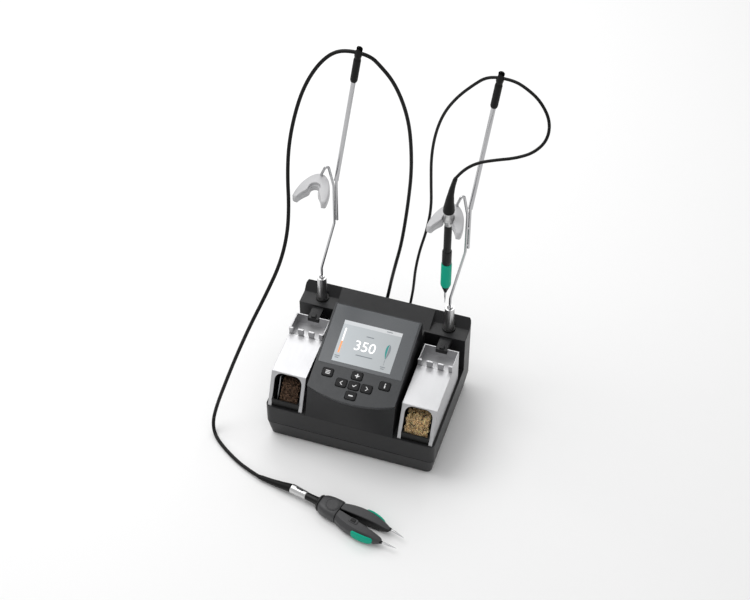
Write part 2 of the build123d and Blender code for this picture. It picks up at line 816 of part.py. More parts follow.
def tweezer_body():
    """Round body with the neck, the slot for the arms' tongues and their pins."""
    face = make_face([
        Polyline((-17, -7), (-17, 7)),
        Spline((-17, 7), (-6, 12.6), (arm_start - arm_gap, 13.2)),
        Polyline((arm_start - arm_gap, 13.2), (arm_start - arm_gap, -13.2)),
        Spline((arm_start - arm_gap, -13.2), (-6, -12.6), (-17, -7)),
    ])
    body = extrude(face, tweezer_thickness)
    body += lying_rod(tweezer_neck_start, -16, tweezer_neck_radius, tweezer_neck_radius)
    body -= block(
        -1.0, arm_start + 1, -14, 14, arm_tongue_low - slide_clearance, arm_tongue_high + slide_clearance)
    for hand in (-1, 1):
        body += rod(arm_pivot_t, hand * arm_pivot_s, 3, tweezer_thickness - 3, arm_pin_diameter)
    return solid_of(tweezer_frame * body)


def tweezer_arm(hand):
    """One arm's housing with its tongue on the pin, a bore for the tip and a seat for the pad."""
    shell = plan_prism(arm_outline(hand), 0.6, tweezer_thickness - 1.5)
    shell -= Pos(arm_end - 26, 0, tweezer_thickness - 1.5) * Rot(0, 11, 0) * block(0, 40, -20, 20, 0, 12)
    tongue = block(
        1.5, arm_start + 3, min(hand * 2.2, hand * 11), max(hand * 2.2, hand * 11), arm_tongue_low, arm_tongue_high)
    tongue -= rod(arm_pivot_t, hand * arm_pivot_s, 0, 20, arm_pin_diameter + 2 * fit_clearance)
    shell += tongue
    shell -= tip_solid(hand, 0.0)
    shell -= pad_blank(hand)
    return solid_of(tweezer_frame * shell)


def tip_solid(hand, grow):
    """A tip cartridge along an arm's inner front, from inside the arm outwards."""
    s0 = 10.2
    s1 = 8.3
    inner = 14.0
    direction = Vector(inner + tip_length, hand * (s1 - s0) * (inner + tip_length) / tip_length, 0)
    start = Vector(arm_end - inner, hand * (s0 + (s0 - s1) * inner / tip_length), tweezer_thickness / 2 - 0.5)
    frame = Plane(origin=start, z_dir=direction.normalized())
    r = tip_diameter / 2 + grow
    face = make_face(Polyline(
        (0, 0, 0), (r, 0, 0), (r, 0, inner + 8), (r * 0.75, 0, inner + 10), (0.25, 0, inner + tip_length),
        (0, 0, inner + tip_length), close=True))
    return frame * revolve(face, Axis.Z)


def pad_blank(hand):
    """Finger pad let into an arm's outer side."""
    plan = [(30, 20.5), (30, 17.0), (44, 17.2), (58, 15.2), (60, 15.0), (60, 18.0), (44, 20.2)]
    blank = plan_prism([(t, hand * s) for t, s in plan], 3.5, 13.5)
    limit = plan_prism([
        (28, hand * 10), (28, hand * (17.8 + pad_depth)), (42, hand * (18.3 + pad_depth)),
        (62, hand * (15.2 + pad_depth)), (62, hand * 10)], 0, 20)
    return blank & limit


def tweezer_pieces():
    """Everything that the tweezers are made of."""
    pieces = {"tweezer_body": tweezer_body()}
    for name, hand in (("near", -1), ("far", 1)):
        pieces["tweezer_%s_arm" % name] = tweezer_arm(hand)
        pieces["tweezer_%s_pad" % name] = solid_of(tweezer_frame * pad_blank(hand))
        pieces["tweezer_%s_tip" % name] = solid_of(tweezer_frame * tip_solid(hand, 0.0))
    collar = lying_rod(tweezer_collar_start, tweezer_neck_start, tweezer_collar_radius, tweezer_neck_radius + 0.4)
    pieces["tweezer_collar"] = solid_of(tweezer_frame * collar)
    pieces["tweezer_boot"] = tweezer_boot()
    return pieces


def tweezer_boot():
    """Tapered strain relief from the collar down to the cord."""
    end = tweezer_boot_end()
    start = Vector(*tweezer_boot_start)
    along = (start - end).normalized()
    length = (start - end).length
    base = Plane(origin=end, z_dir=along)
    sections = [base * Pos(0, 0, length * s) * Circle(r) for s, r in (
        (0.0, 4.4), (0.25, 4.1), (0.65, 3.2), (1.0, 2.7))]
    boot = loft(sections)
    keep = tweezer_frame * block(-200, tweezer_collar_start, -60, 60, -5, 60)
    last = left_cord_points()[-2]
    lead = Plane(origin=tweezer_boot_start, z_dir=start - Vector(*last))
    bore = lead * Cylinder(left_cord_diameter / 2, 8.0)
    return solid_of((boot & keep) - bore)


def tweezer_boot_end():
    """Point on the collar's back face, a little inside it."""
    return (tweezer_frame * Pos(tweezer_collar_start + 1.0, 0, tweezer_thickness / 2)).position


# ---- cords -------------------------------------------------------------------------------------
def seat_point(side, x, y, z):
    """A cord point given from the cord's seat in a mast's cap."""
    seat = cord_seat(side)
    return (seat.X + x, seat.Y + y, seat.Z + z)


def rest_point(x, y, z):
    """A point of the left cord's fall given across and back from the left tool rest."""
    return (x - rest_x, rest_y + y, z)


def left_cord_points():
    """Left cord, from its plug over the left mast to the tweezers."""
    y0 = panel_face_y + plug_length
    return [
        (left_plug_x, y0, plug_height), (left_plug_x, y0 + 17, plug_height), (-17, 129, 65), (-14, 129, 86),
        (-7, 122, 122), (1, 118, 163), (7, 113, 207), (12, 108, 250), (15.5, 105, 293), (15.5, 103, 333),
        (13, 101, 370), (6, 98.5, 403), (-4, 95, 431), (-15.5, 91, 450),
        seat_point(-1, 12.5, 0, -0.4), seat_point(-1, -13.5, 0, 0.4),
        rest_point(8.5, 38.5, 462), rest_point(-6.5, 32.5, 444), rest_point(-18.5, 24.5, 418),
        rest_point(-25.5, 14.5, 388), rest_point(-29.5, 3.5, 353), rest_point(-27.5, -9.5, 320),
        rest_point(-21.5, -24.5, 288), rest_point(-19.5, -38.5, 258),
        (-100, -11, 226), (-112, -29, 190), (-127, -46, 150),
        (-141, -61, 107), (-153, -72, 66), (-162, -79, 34), (-166, -86, 11), (-160, -97, 2.6), (-147, -109, 2.3),
        (-128, -122, 2.4), (-108, -133, 3.0), tweezer_boot_start,
    ]


def right_feed_points():
    """Right cord's first length, from its plug up to the right mast's cap."""
    y0 = panel_face_y + plug_length
    return [
        (right_plug_x, y0, plug_height), (right_plug_x, y0 + 15, plug_height), (12.5, 126, 64), (15, 126, 86),
        (18, 121, 122), (24, 117, 162), (33, 113, 202), (39, 108.5, 245), (38.5, 105, 288), (38.5, 102.5, 328),
        (43, 100, 366), (52, 98, 399), (66, 96, 426), (82, 95, 447), seat_point(1, -13, 0.3, -1), seat_point(1, 0, 0, 0),
    ]


def right_lead_points():
    """Right cord's second length, from the cap round to the handle's boot."""
    top = (rest_x + boot_lean, rest_y, boot_top_z)
    tilt = math.radians(boot_tilt)
    leave = (top[0] + 15 * math.sin(tilt), top[1], top[2] + 15 * math.cos(tilt))
    return [
        seat_point(1, 0, 0, 0), seat_point(1, 13, -0.3, 1), (141, 88, 465), (158, 82, 457), (171, 75, 440),
        (171.5, 68, 420), (160, 61, 405), (142, 55.5, 397), (122, 50, 393.5), (104, 46, 388), leave, top,
    ]


def cord_tube(name, points, diameter):
    """A round cord along straight runs joined by tangent arcs; prints its length and radii."""
    points = [Vector(*p) for p in points]
    radii = []
    for before, here, after in zip(points, points[1:], points[2:]):
        a = here - before
        b = after - here
        turn = math.radians(a.get_angle(b))
        radii.append(cord_arc_share * min(a.length, b.length) / math.tan(turn / 2))
    path = FilletPolyline(*points, radius=radii)
    tube = sweep(Plane(origin=path @ 0, z_dir=path % 0) * Circle(diameter / 2), path=path)
    runs = [(q - p).length for p, q in zip(points, points[1:])]
    print("%s length %.1f volume/(section*length) %.4f" % (
        name, path.length, tube.volume / (math.pi * diameter ** 2 / 4 * path.length)))
    print("  radii", " ".join("%.0f" % r for r in radii))
    print("  runs", " ".join("%.0f" % r for r in runs))
    return solid_of(tube)


def cord_plug(x, diameter):
    """Round moulded plug on the rear panel, with the cord's bore end behind it."""
    y0 = panel_face_y
    length = plug_length
    face = make_face(Polyline(
        (0, 0, 0), (plug_diameter / 2, 0, 0), (plug_diameter / 2, 0, length * 0.5),
        (plug_diameter / 2 - 1.5, 0, length * 0.55), (diameter / 2 + 0.8, 0, length), (0, 0, length), close=True))
    return solid_of(Plane(origin=(x, y0, plug_height), z_dir=(0, 1, 0)) * revolve(face, Axis.Z))


# ---- rear and inside ---------------------------------------------------------------------------
def screw_places():
    """Rear panel screws, across and up."""
    x = rear_panel_width / 2 - rear_opening_margin / 2 - 0.5
    z = rear_panel_height / 2 - 4.0
    return [(side * x, rear_panel_z + up * z) for side in (-1, 1) for up in (-1, 1)]


def rear_panel():
    """Metal panel over the rear opening, cut for what is mounted in it."""
    plate = block(
        -rear_panel_width / 2, rear_panel_width / 2, back_y, panel_face_y,
        rear_panel_z - rear_panel_height / 2, rear_panel_z + rear_panel_height / 2)
    plate -= block(
        inlet_x - inlet_width / 2 + 1, inlet_x + inlet_width / 2 - 1, back_y - 1, panel_face_y + 1,
        rear_panel_z - inlet_height / 2 + 1, rear_panel_z + inlet_height / 2 - 1)
    for x in (left_plug_x, right_plug_x):
        plate -= Pos(x, back_y, plug_height) * Rot(90, 0, 0) * Cylinder(tool_socket_radius - 1.0, 8)
    plate -= Pos(earth_x, back_y, rear_panel_z) * Rot(90, 0, 0) * Cylinder(4.0, 8)
    for x, z in screw_places():
        plate -= Pos(x, back_y, z) * Rot(90, 0, 0) * Cylinder(screw_shank_diameter / 2 + fit_clearance, 8)
    return solid_of(plate)


def tool_sockets():
    """Two round chassis sockets behind the panel."""
    bodies = []
    for x in (left_plug_x, right_plug_x):
        body = Pos(x, back_y - 8, plug_height) * Rot(90, 0, 0) * Cylinder(tool_socket_radius, 16)
        neck = Pos(x, back_y + rear_panel_thickness / 2, plug_height) * Rot(90, 0, 0) * Cylinder(
            tool_socket_radius - 1.0, rear_panel_thickness)
        bodies.append(solid_of(body + neck))
    return Compound(bodies)


def earth_socket():
    """Bonding socket with a plain bore for an earth plug."""
    body = Pos(earth_x, back_y - 8, rear_panel_z) * Rot(90, 0, 0) * Cylinder(6.0, 16)
    body += Pos(earth_x, back_y + 1.5, rear_panel_z) * Rot(90, 0, 0) * Cylinder(4.0, 3)
    mouth_y = back_y + 3.0
    body -= Pos(earth_x, mouth_y - earth_depth / 2, rear_panel_z) * Rot(90, 0, 0) * Cylinder(earth_bore / 2, earth_depth)
    return solid_of(body)


def mains_inlet():
    """Inlet module: recessed pin chamber, fuse drawer face and the switch well."""
    y1 = panel_face_y + 2.0
    body = block(
        inlet_x - inlet_width / 2 + 1, inlet_x + inlet_width / 2 - 1, back_y - 24, panel_face_y,
        rear_panel_z - inlet_height / 2 + 1, rear_panel_z + inlet_height / 2 - 1)
    body += block(
        inlet_x - inlet_width / 2 - 1, inlet_x + inlet_width / 2 + 1, panel_face_y, y1,
        rear_panel_z - inlet_height / 2 - 1, rear_panel_z + inlet_height / 2 + 1)
    pins_x = inlet_x + 9.0
    body -= block(pins_x - 12, pins_x + 12, y1 - 16, y1 + 1, rear_panel_z - 6, rear_panel_z + 10)
    for dx, dz in ((-7, 0), (0, 4), (7, 0)):
        body += block(
            pins_x + dx - 1, pins_x + dx + 1, y1 - 16.5, y1 - 4, rear_panel_z + dz - 2, rear_panel_z + dz + 2)
    body -= block(
        rocker_x - rocker_width / 2 - slide_clearance, rocker_x + rocker_width / 2 + slide_clearance,
        y1 - 12, y1 + 1, rear_panel_z - rocker_height / 2 - 1, rear_panel_z + rocker_height / 2 + 1)
    return solid_of(body)


def power_rocker():
    """Rocker of the mains switch, tipped to its rest position."""
    y1 = panel_face_y + 2.0
    half = rocker_height / 2 - 0.6
    points = [(-5, -half + 2), (0.5, -half), (1.4, 0), (0.5, half), (-5, half - 2)]
    blank = side_prism(points, rocker_width / 2)
    blank += Rot(0, 90, 0) * Cylinder(2.0, rocker_width)
    tipped = Rot(rocker_tilt, 0, 0) * Pos(0, 0, 0) * blank
    return solid_of(Pos(rocker_x, y1 - 1.0, rear_panel_z) * tipped)


def main_board():
    """Main circuit board on its pillars, with a heat sink and two tall parts."""
    x0, x1, y0, y1 = main_board_box
    z = pillar_top
    board = block(x0, x1, y0, y1, z, z + board_thickness)
    board += block(x0 + 12, x0 + 42, y0 + 20, y0 + 50, z + board_thickness, z + 22)
    for x in (x0 + 60, x0 + 80):
        board += rod(x, y0 + 40, z + board_thickness, z + 24, 14)
    return solid_of(board)


def power_transformer():
    """Potted ring transformer bolted to the tray's floor."""
    top = floor_top + transformer_height
    ring = rod(transformer_x, 0, floor_top, top, transformer_diameter)
    ring -= rod(transformer_x, 0, floor_top + 6, top + 1, transformer_bore)
    return solid_of(ring)


def case_screws():
    """The rear panel's four screws."""
    screws = []
    for x, z in screw_places():
        head = Pos(x, panel_face_y + 0.9, z) * Rot(90, 0, 0) * Cylinder(screw_head_diameter / 2, 1.8)
        shank = Pos(x, panel_face_y - screw_length / 2, z) * Rot(90, 0, 0) * Cylinder(
            screw_shank_diameter / 2, screw_length)
        screws.append(solid_of(head + shank))
    return Compound(screws)


# ---- the whole station -------------------------------------------------------------------------
def build():
    """Every piece by node name."""
    nodes = {
        "base_tray": base_tray(), "upper_housing": upper_housing(), "rubber_feet": rubber_feet(),
        "rear_panel": rear_panel(), "case_screws": case_screws(), "mains_inlet": mains_inlet(),
        "power_rocker": power_rocker(), "tool_sockets": tool_sockets(), "earth_socket": earth_socket(),
        "main_board": main_board(), "power_transformer": power_transformer(),
        "console_bezel": console_bezel(), "display_window": display_window(), "lcd_module": lcd_module(),
        "key_board": key_board(), "cartridge_extractors": cartridge_extractors(),
        "left_tip_wiper": tip_wiper(),
        "mast_sockets": mast_sockets(), "socket_grommets": socket_grommets(),
    }
    for name, (u, v) in key_places().items():
        nodes[name] = key(u, v)
    for word, side in (("left", -1), ("right", 1)):
        nodes[word + "_stand_cover"] = stand_cover(side)
        nodes[word + "_wool_tray"] = wool_tray(side)
        nodes[word + "_brass_wool"] = brass_wool(side)
        nodes[word + "_mast_rod"] = mast_rod(side)
        nodes[word + "_mast_tube"] = mast_tube(side)
        nodes[word + "_mast_cap"] = mast_cap(side)
        nodes[word + "_tool_rest"] = tool_rest(side)
    nodes.update(handle_pieces())
    nodes.update(tweezer_pieces())
    nodes["left_cord_plug"] = cord_plug(left_plug_x, left_cord_diameter)
    nodes["right_cord_plug"] = cord_plug(right_plug_x, right_cord_diameter)
    nodes["left_cord"] = cord_tube("left_cord", left_cord_points(), left_cord_diameter)
    nodes["right_feed_cord"] = cord_tube("right_feed_cord", right_feed_points(), right_cord_diameter)
    nodes["right_lead_cord"] = cord_tube("right_lead_cord", right_lead_points(), right_cord_diameter)
    return nodes


os.makedirs("parts", exist_ok=True)
for node, shape in build().items():
    export_step(shape, "parts/%s.step" % node)
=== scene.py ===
"""Looks of a two-tool soldering station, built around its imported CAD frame.

Lengths are metres, +Z is up and the front faces -Y.
"""
import math

import bpy
import numpy as np
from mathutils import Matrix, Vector


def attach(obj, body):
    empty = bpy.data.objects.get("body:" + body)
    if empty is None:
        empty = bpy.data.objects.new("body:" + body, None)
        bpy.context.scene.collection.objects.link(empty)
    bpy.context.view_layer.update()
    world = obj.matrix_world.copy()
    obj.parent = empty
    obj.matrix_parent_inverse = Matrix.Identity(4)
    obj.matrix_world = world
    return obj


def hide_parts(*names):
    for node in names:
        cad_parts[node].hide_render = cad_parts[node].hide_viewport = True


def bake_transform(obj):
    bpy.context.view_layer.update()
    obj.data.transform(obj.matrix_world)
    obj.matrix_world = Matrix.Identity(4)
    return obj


bl_info = {
    "name": "Soldering Station",
    "version": (1, 0, 0),
    "blender": (4, 5, 0),
    "location": "View3D > Sidebar > Station",
    "description": "Builds the surfaces, cords and finishes of a two-tool soldering station",
    "category": "Object",
}

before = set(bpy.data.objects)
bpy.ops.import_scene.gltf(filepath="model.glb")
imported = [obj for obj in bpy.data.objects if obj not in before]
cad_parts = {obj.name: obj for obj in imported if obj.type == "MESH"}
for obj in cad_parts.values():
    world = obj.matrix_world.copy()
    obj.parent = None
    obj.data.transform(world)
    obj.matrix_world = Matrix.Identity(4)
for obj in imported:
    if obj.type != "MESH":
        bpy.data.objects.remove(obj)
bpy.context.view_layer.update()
MM = 0.001
TAU = 2 * math.pi
POLE = 0.02  # radius, mm, of the small face that closes a lathed piece on its axis
GROUPS = {}
FINISHES = {}


# ---- mesh making -------------------------------------------------------------------------------
def show(name, data):
    """Puts a mesh, curve, light or camera into the scene as a new object."""
    obj = bpy.data.objects.new(name, data)
    bpy.context.scene.collection.objects.link(obj)
    return obj


def add_mesh(name, points, quads, kinds, ngons=(), slots=None, smooth=True):
    """Puts an array of points and index arrays of faces into a new object with the named finishes."""
    faces = [tuple(f) for f in np.asarray(quads).tolist()] + [tuple(g) for g in ngons]
    mesh = bpy.data.meshes.new(name)
    mesh.from_pydata(np.asarray(points, float).reshape(-1, 3).tolist(), [], faces)
    for kind in kinds:
        mesh.materials.append(FINISHES[kind])
    if slots is not None:
        mesh.polygons.foreach_set("material_index", np.asarray(slots, np.int32))
    mesh.polygons.foreach_set("use_smooth", np.full(len(mesh.polygons), smooth))
    mesh.update()
    return show(name, mesh)


def shell_faces(n, m, start=0):
    """Quads of a tube of n rings of m points: ring i, point j joins ring i + 1, point j + 1."""
    i, j = np.meshgrid(np.arange(n - 1), np.arange(m), indexing="ij")
    k = (j + 1) % m
    quads = np.stack([i * m + j, i * m + k, (i + 1) * m + k, (i + 1) * m + j], -1)
    return quads.reshape(-1, 4) + start


def loft(name, rings, kinds, slots=None, sharp=None):
    """A closed body from rings (n, m, 3), counter-clockwise about the way they go, with both ends capped.

    It shades smooth except across edges that turn by more than the angle sharp.
    """
    rings = np.asarray(rings, float)
    n, m = rings.shape[:2]
    caps = [list(range(m))[::-1], list(range((n - 1) * m, n * m))]
    obj = add_mesh(name, rings, shell_faces(n, m), kinds, caps, slots)
    if sharp is not None:
        obj.data.set_sharp_from_angle(angle=math.radians(sharp))
    return obj


def circle(m, start=0.0):
    """Unit circle of m points, (cos a, sin a)."""
    a = start + np.arange(m) * TAU / m
    return np.stack([np.cos(a), np.sin(a)], -1)


def superellipse(m, power):
    """Unit outline |x|^p + |y|^p = 1 of m points: r(a) = (|cos a|^p + |sin a|^p)^(-1/p)."""
    c = circle(m, math.pi / m)
    return c * (np.abs(c) ** power).sum(-1, keepdims=True) ** (-1 / power)


def lathe(name, profile, centre, kind, axis="Z", m=48):
    """Turns (radius, height) points about a line: P = centre + r (cos a, sin a) + h along the axis."""
    profile = np.asarray(profile, float)
    c = circle(m)
    r, h = np.maximum(profile[:, 0, None], POLE) * MM, profile[:, 1, None] * MM + np.zeros(m)
    x, y = r * c[:, 0], r * c[:, 1]
    rings = np.stack({"Z": [x, y, h], "Y": [x, h, -y]}[axis], -1) + np.asarray(centre) * MM
    return loft(name, rings, [kind], sharp=35)


def path_frames(path):
    """Unit tangent, side and up of a path: side = ref x T with the reference that stays furthest from T."""
    t = np.gradient(path, axis=0)
    t /= np.linalg.norm(t, axis=1, keepdims=True)
    refs = np.array([[0, 0, 1], [0, 1, 0], [1, 0, 0], [1, 1, 0], [1, -1, 0], [0, 1, 1], [0, 1, -1], [1, 0, 1],
                     [1, 0, -1], [1, 1, 1], [1, -1, 1], [-1, 1, 1], [1, 1, -1]], float)
    refs /= np.linalg.norm(refs, axis=1, keepdims=True)
    ref = refs[np.argmin(np.abs(refs @ t.T).max(1))]
    side = np.cross(ref, t)
    side /= np.linalg.norm(side, axis=1, keepdims=True)
    return t, side, np.cross(t, side)


def pipe(name, path, radius, kinds, m, slots=None):
    """A round pipe: P = C(s) + r(s) (cos a side + sin a up)."""
    path = np.asarray(path, float)
    _, side, up = path_frames(path)
    c = circle(m)
    r = np.broadcast_to(np.asarray(radius, float), (len(path),))[:, None, None]
    rings = path[:, None] + r * (c[None, :, :1] * side[:, None] + c[None, :, 1:] * up[:, None])
    return loft(name, rings, kinds, slots)


def evaluated(curve):
    """Makes a curve or text a mesh, and returns the mesh and its points."""
    obj = show("outline", curve)
    mesh = bpy.data.meshes.new_from_object(obj.evaluated_get(bpy.context.evaluated_depsgraph_get()))
    bpy.data.objects.remove(obj)
    points = np.zeros(len(mesh.vertices) * 3)
    mesh.vertices.foreach_get("co", points)
    return mesh, points.reshape(-1, 3)


def spline_points(points, per_span=24):
    """Points along a NURBS spline of order 3 whose control points are given."""
    curve = bpy.data.curves.new("route", "CURVE")
    curve.dimensions = "3D"
    curve.resolution_u = per_span
    spline = curve.splines.new("NURBS")
    spline.points.add(len(points) - 1)
    spline.points.foreach_set("co", np.column_stack([points, np.ones(len(points))]).ravel())
    spline.order_u = 3
    spline.use_endpoint_u = True
    mesh, points = evaluated(curve)
    bpy.data.meshes.remove(mesh)
    return points


def ease(x, xs, ys):
    """Monotone blend through knots: straight spans, each bent by t^2 (3 - 2 t) half-way."""
    xs, ys = np.asarray(xs, float), np.asarray(ys, float)
    i = np.clip(np.searchsorted(xs, x, side="right") - 1, 0, len(xs) - 2)
    t = (x - xs[i]) / (xs[i + 1] - xs[i])
    t = 0.5 * t + 0.5 * t * t * (3 - 2 * t)
    return ys[i] + (ys[i + 1] - ys[i]) * t


def place(obj, body, slot, *nodes):
    """Lets a piece ride on a body and hides the CAD nodes that it stands for."""
    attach(obj, body)
    if nodes:
        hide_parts(*nodes)
    return obj


# ---- shader node groups ------------------------------------------------------------------------
def new_group(name, inputs, outputs):
    """An empty shader group with named sockets; returns it with its input and output nodes."""
    group = bpy.data.node_groups.new(name, "ShaderNodeTree")
    for label, kind, value in inputs:
        socket = group.interface.new_socket(label, in_out="INPUT", socket_type=kind)
        socket.default_value = value
    for label, kind in outputs:
        group.interface.new_socket(label, in_out="OUTPUT", socket_type=kind)
    return group, group.nodes.new("NodeGroupInput"), group.nodes.new("NodeGroupOutput")


def link(tree, *pairs):
    """Joins sockets two by two."""
    for source, target in pairs:
        tree.links.new(source, target)


def feed(tree, socket, value):
    """Sets a socket to a number or colour, or joins another socket to it."""
    if isinstance(value, (int, float, tuple)):
        socket.default_value = value
    else:
        tree.links.new(value, socket)


def math_node(tree, operation, a, b, clamp=False):
    """One Math node on sockets or numbers."""
    node = tree.nodes.new("ShaderNodeMath")
    node.operation = operation
    node.use_clamp = clamp
    feed(tree, node.inputs[0], a)
    feed(tree, node.inputs[1], b)
    return node.outputs[0]


def mix_colour(tree, factor, a, b):
    """One colour Mix node."""
    node = tree.nodes.new("ShaderNodeMix")
    node.data_type = "RGBA"
    for label, value in (("Factor", factor), ("A", a), ("B", b)):
        feed(tree, node.inputs[label], value)
    return node.outputs["Result"]


def noise(tree, vector, scale, detail):
    """One Noise Texture on a vector."""
    node = tree.nodes.new("ShaderNodeTexNoise")
    node.inputs["Detail"].default_value = detail
    feed(tree, node.inputs["Vector"], vector)
    feed(tree, node.inputs["Scale"], scale)
    return node.outputs["Fac"]


def spread(tree, value, amount):
    """Centres a 0..1 noise on zero and multiplies it."""
    return math_node(tree, "MULTIPLY", math_node(tree, "SUBTRACT", value, 0.5), amount)


def rounded_bump(group, gin, gout, strength, height, distance):
    """Rounds the edges by the group's radius in millimetres, bumps that normal and puts it out."""
    bevel = group.nodes.new("ShaderNodeBevel")
    bevel.samples = 4
    bump = group.nodes.new("ShaderNodeBump")
    bump.inputs["Distance"].default_value = distance
    link(group, (math_node(group, "MULTIPLY", gin.outputs["Edge Radius"], MM), bevel.inputs["Radius"]),
         (gin.outputs[strength], bump.inputs["Strength"]), (height, bump.inputs["Height"]),
         (bevel.outputs["Normal"], bump.inputs["Normal"]), (bump.outputs["Normal"], gout.inputs["Normal"]))
    return bevel.outputs["Normal"]


def moulded_surface_group():
    """Moulded, cast or rubber skin: fine grain, slow mottle, handling marks, rounded and paler edges."""
    group, gin, gout = new_group("Moulded Surface", [
        ("Colour", "NodeSocketColor", (0.05, 0.05, 0.05, 1)), ("Edge Colour", "NodeSocketColor", (0.1, 0.1, 0.1, 1)),
        ("Roughness", "NodeSocketFloat", 0.5), ("Grain Size", "NodeSocketFloat", 0.4),
        ("Grain Height", "NodeSocketFloat", 0.3), ("Mottle", "NodeSocketFloat", 0.2),
        ("Edge Radius", "NodeSocketFloat", 0.6)],
        [("Colour", "NodeSocketColor"), ("Roughness", "NodeSocketFloat"), ("Normal", "NodeSocketVector")])
    coords = group.nodes.new("ShaderNodeTexCoord").outputs["Object"]
    per_metre = math_node(group, "DIVIDE", 1000.0, gin.outputs["Grain Size"])
    grain = noise(group, coords, per_metre, 2.0)
    slow = noise(group, coords, 28.0, 4.0)
    marks = noise(group, coords, 160.0, 5.0)
    rounded = rounded_bump(group, gin, gout, "Grain Height", grain, 0.1 * MM)
    geometry = group.nodes.new("ShaderNodeNewGeometry")
    dot = group.nodes.new("ShaderNodeVectorMath")
    dot.operation = "DOT_PRODUCT"
    link(group, (rounded, dot.inputs[0]), (geometry.outputs["Normal"], dot.inputs[1]))
    bend = math_node(group, "SUBTRACT", 1.0, dot.outputs["Value"])
    edge = math_node(group, "MULTIPLY", math_node(group, "MULTIPLY", bend, 2.5, True), marks, True)
    shade = spread(group, slow, gin.outputs["Mottle"])
    tone = group.nodes.new("ShaderNodeHueSaturation")
    link(group, (gin.outputs["Colour"], tone.inputs["Color"]),
         (math_node(group, "ADD", shade, 1.0), tone.inputs["Value"]))
    link(group, (mix_colour(group, edge, tone.outputs["Color"], gin.outputs["Edge Colour"]), gout.inputs["Colour"]))
    rub = spread(group, marks, gin.outputs["Mottle"])
    link(group, (math_node(group, "ADD", gin.outputs["Roughness"], rub, True), gout.inputs["Roughness"]))
    return group


def brushed_metal_group():
    """Drawn or brushed metal: fine lines along one axis, soft smudges and rounded edges."""
    group, gin, gout = new_group("Brushed Metal", [
        ("Colour", "NodeSocketColor", (0.7, 0.7, 0.7, 1)), ("Roughness", "NodeSocketFloat", 0.3),
        ("Stretch", "NodeSocketVector", (1, 1, 1)), ("Line Height", "NodeSocketFloat", 0.2),
        ("Smudge", "NodeSocketFloat", 0.15), ("Smudge Scale", "NodeSocketFloat", 45.0),
        ("Edge Radius", "NodeSocketFloat", 0.5)],
        [("Colour", "NodeSocketColor"), ("Roughness", "NodeSocketFloat"), ("Normal", "NodeSocketVector")])
    coords = group.nodes.new("ShaderNodeTexCoord").outputs["Object"]
    stretch = group.nodes.new("ShaderNodeVectorMath")
    stretch.operation = "MULTIPLY"
    link(group, (coords, stretch.inputs[0]), (gin.outputs["Stretch"], stretch.inputs[1]))
    lines = noise(group, stretch.outputs["Vector"], 900.0, 3.0)
    smudge = noise(group, coords, gin.outputs["Smudge Scale"], 5.0)
    rounded_bump(group, gin, gout, "Line Height", lines, 0.05 * MM)
    shift = spread(group, smudge, gin.outputs["Smudge"])
    grain = spread(group, lines, 0.12)
    tone = group.nodes.new("ShaderNodeHueSaturation")
    value = math_node(group, "ADD", math_node(group, "MULTIPLY", shift, 0.5), 1.0)
    link(group, (gin.outputs["Colour"], tone.inputs["Color"]), (value, tone.inputs["Value"]),
         (tone.outputs["Color"], gout.inputs["Colour"]))
    rough = math_node(group, "ADD", math_node(group, "ADD", gin.outputs["Roughness"], shift), grain, True)
    link(group, (rough, gout.inputs["Roughness"]))
    return group


def new_material(name):
    """Adds a named finish; returns its node tree and its Principled shader."""
    material = FINISHES[name] = bpy.data.materials.new(name)
    material.use_nodes = True
    return material.node_tree, material.node_tree.nodes["Principled BSDF"]


def finish(name, group, values, metallic=0.0, **sockets):
    """A material whose colour, roughness and normal come from a shared group placed with its own values."""
    tree, shader = new_material(name)
    shader.inputs["Metallic"].default_value = metallic
    for label, value in sockets.items():
        shader.inputs[label.replace("_", " ")].default_value = value
    node = tree.nodes.new("ShaderNodeGroup")
    node.node_tree = GROUPS[group]
    for label, value in values.items():
        node.inputs[label].default_value = value
    link(tree, (node.outputs["Colour"], shader.inputs["Base Color"]),
         (node.outputs["Roughness"], shader.inputs["Roughness"]), (node.outputs["Normal"], shader.inputs["Normal"]))


def moulded(name, colour, roughness, grain=0.4, height=0.3, mottle=0.15, radius=0.6, gloss=0.5,
            **sockets):
    """A plastic, rubber or cast finish, whose edges are paler."""
    edge = tuple(min(1.0, c * 1.6 + 0.01) for c in colour)
    finish(name, "moulded", {
        "Colour": (*colour, 1), "Edge Colour": (*edge, 1), "Roughness": roughness, "Grain Size": grain,
        "Grain Height": height, "Mottle": mottle, "Edge Radius": radius}, Specular_IOR_Level=gloss, **sockets)


def metal(name, colour, roughness, stretch=(1, 1, 1), lines=0.2, smudge=0.15, radius=0.5, scale=45.0):
    """A bare metal finish."""
    finish(name, "brushed", {
        "Colour": (*colour, 1), "Roughness": roughness, "Stretch": stretch, "Line Height": lines,
        "Smudge": smudge, "Smudge Scale": scale, "Edge Radius": radius}, metallic=1.0)


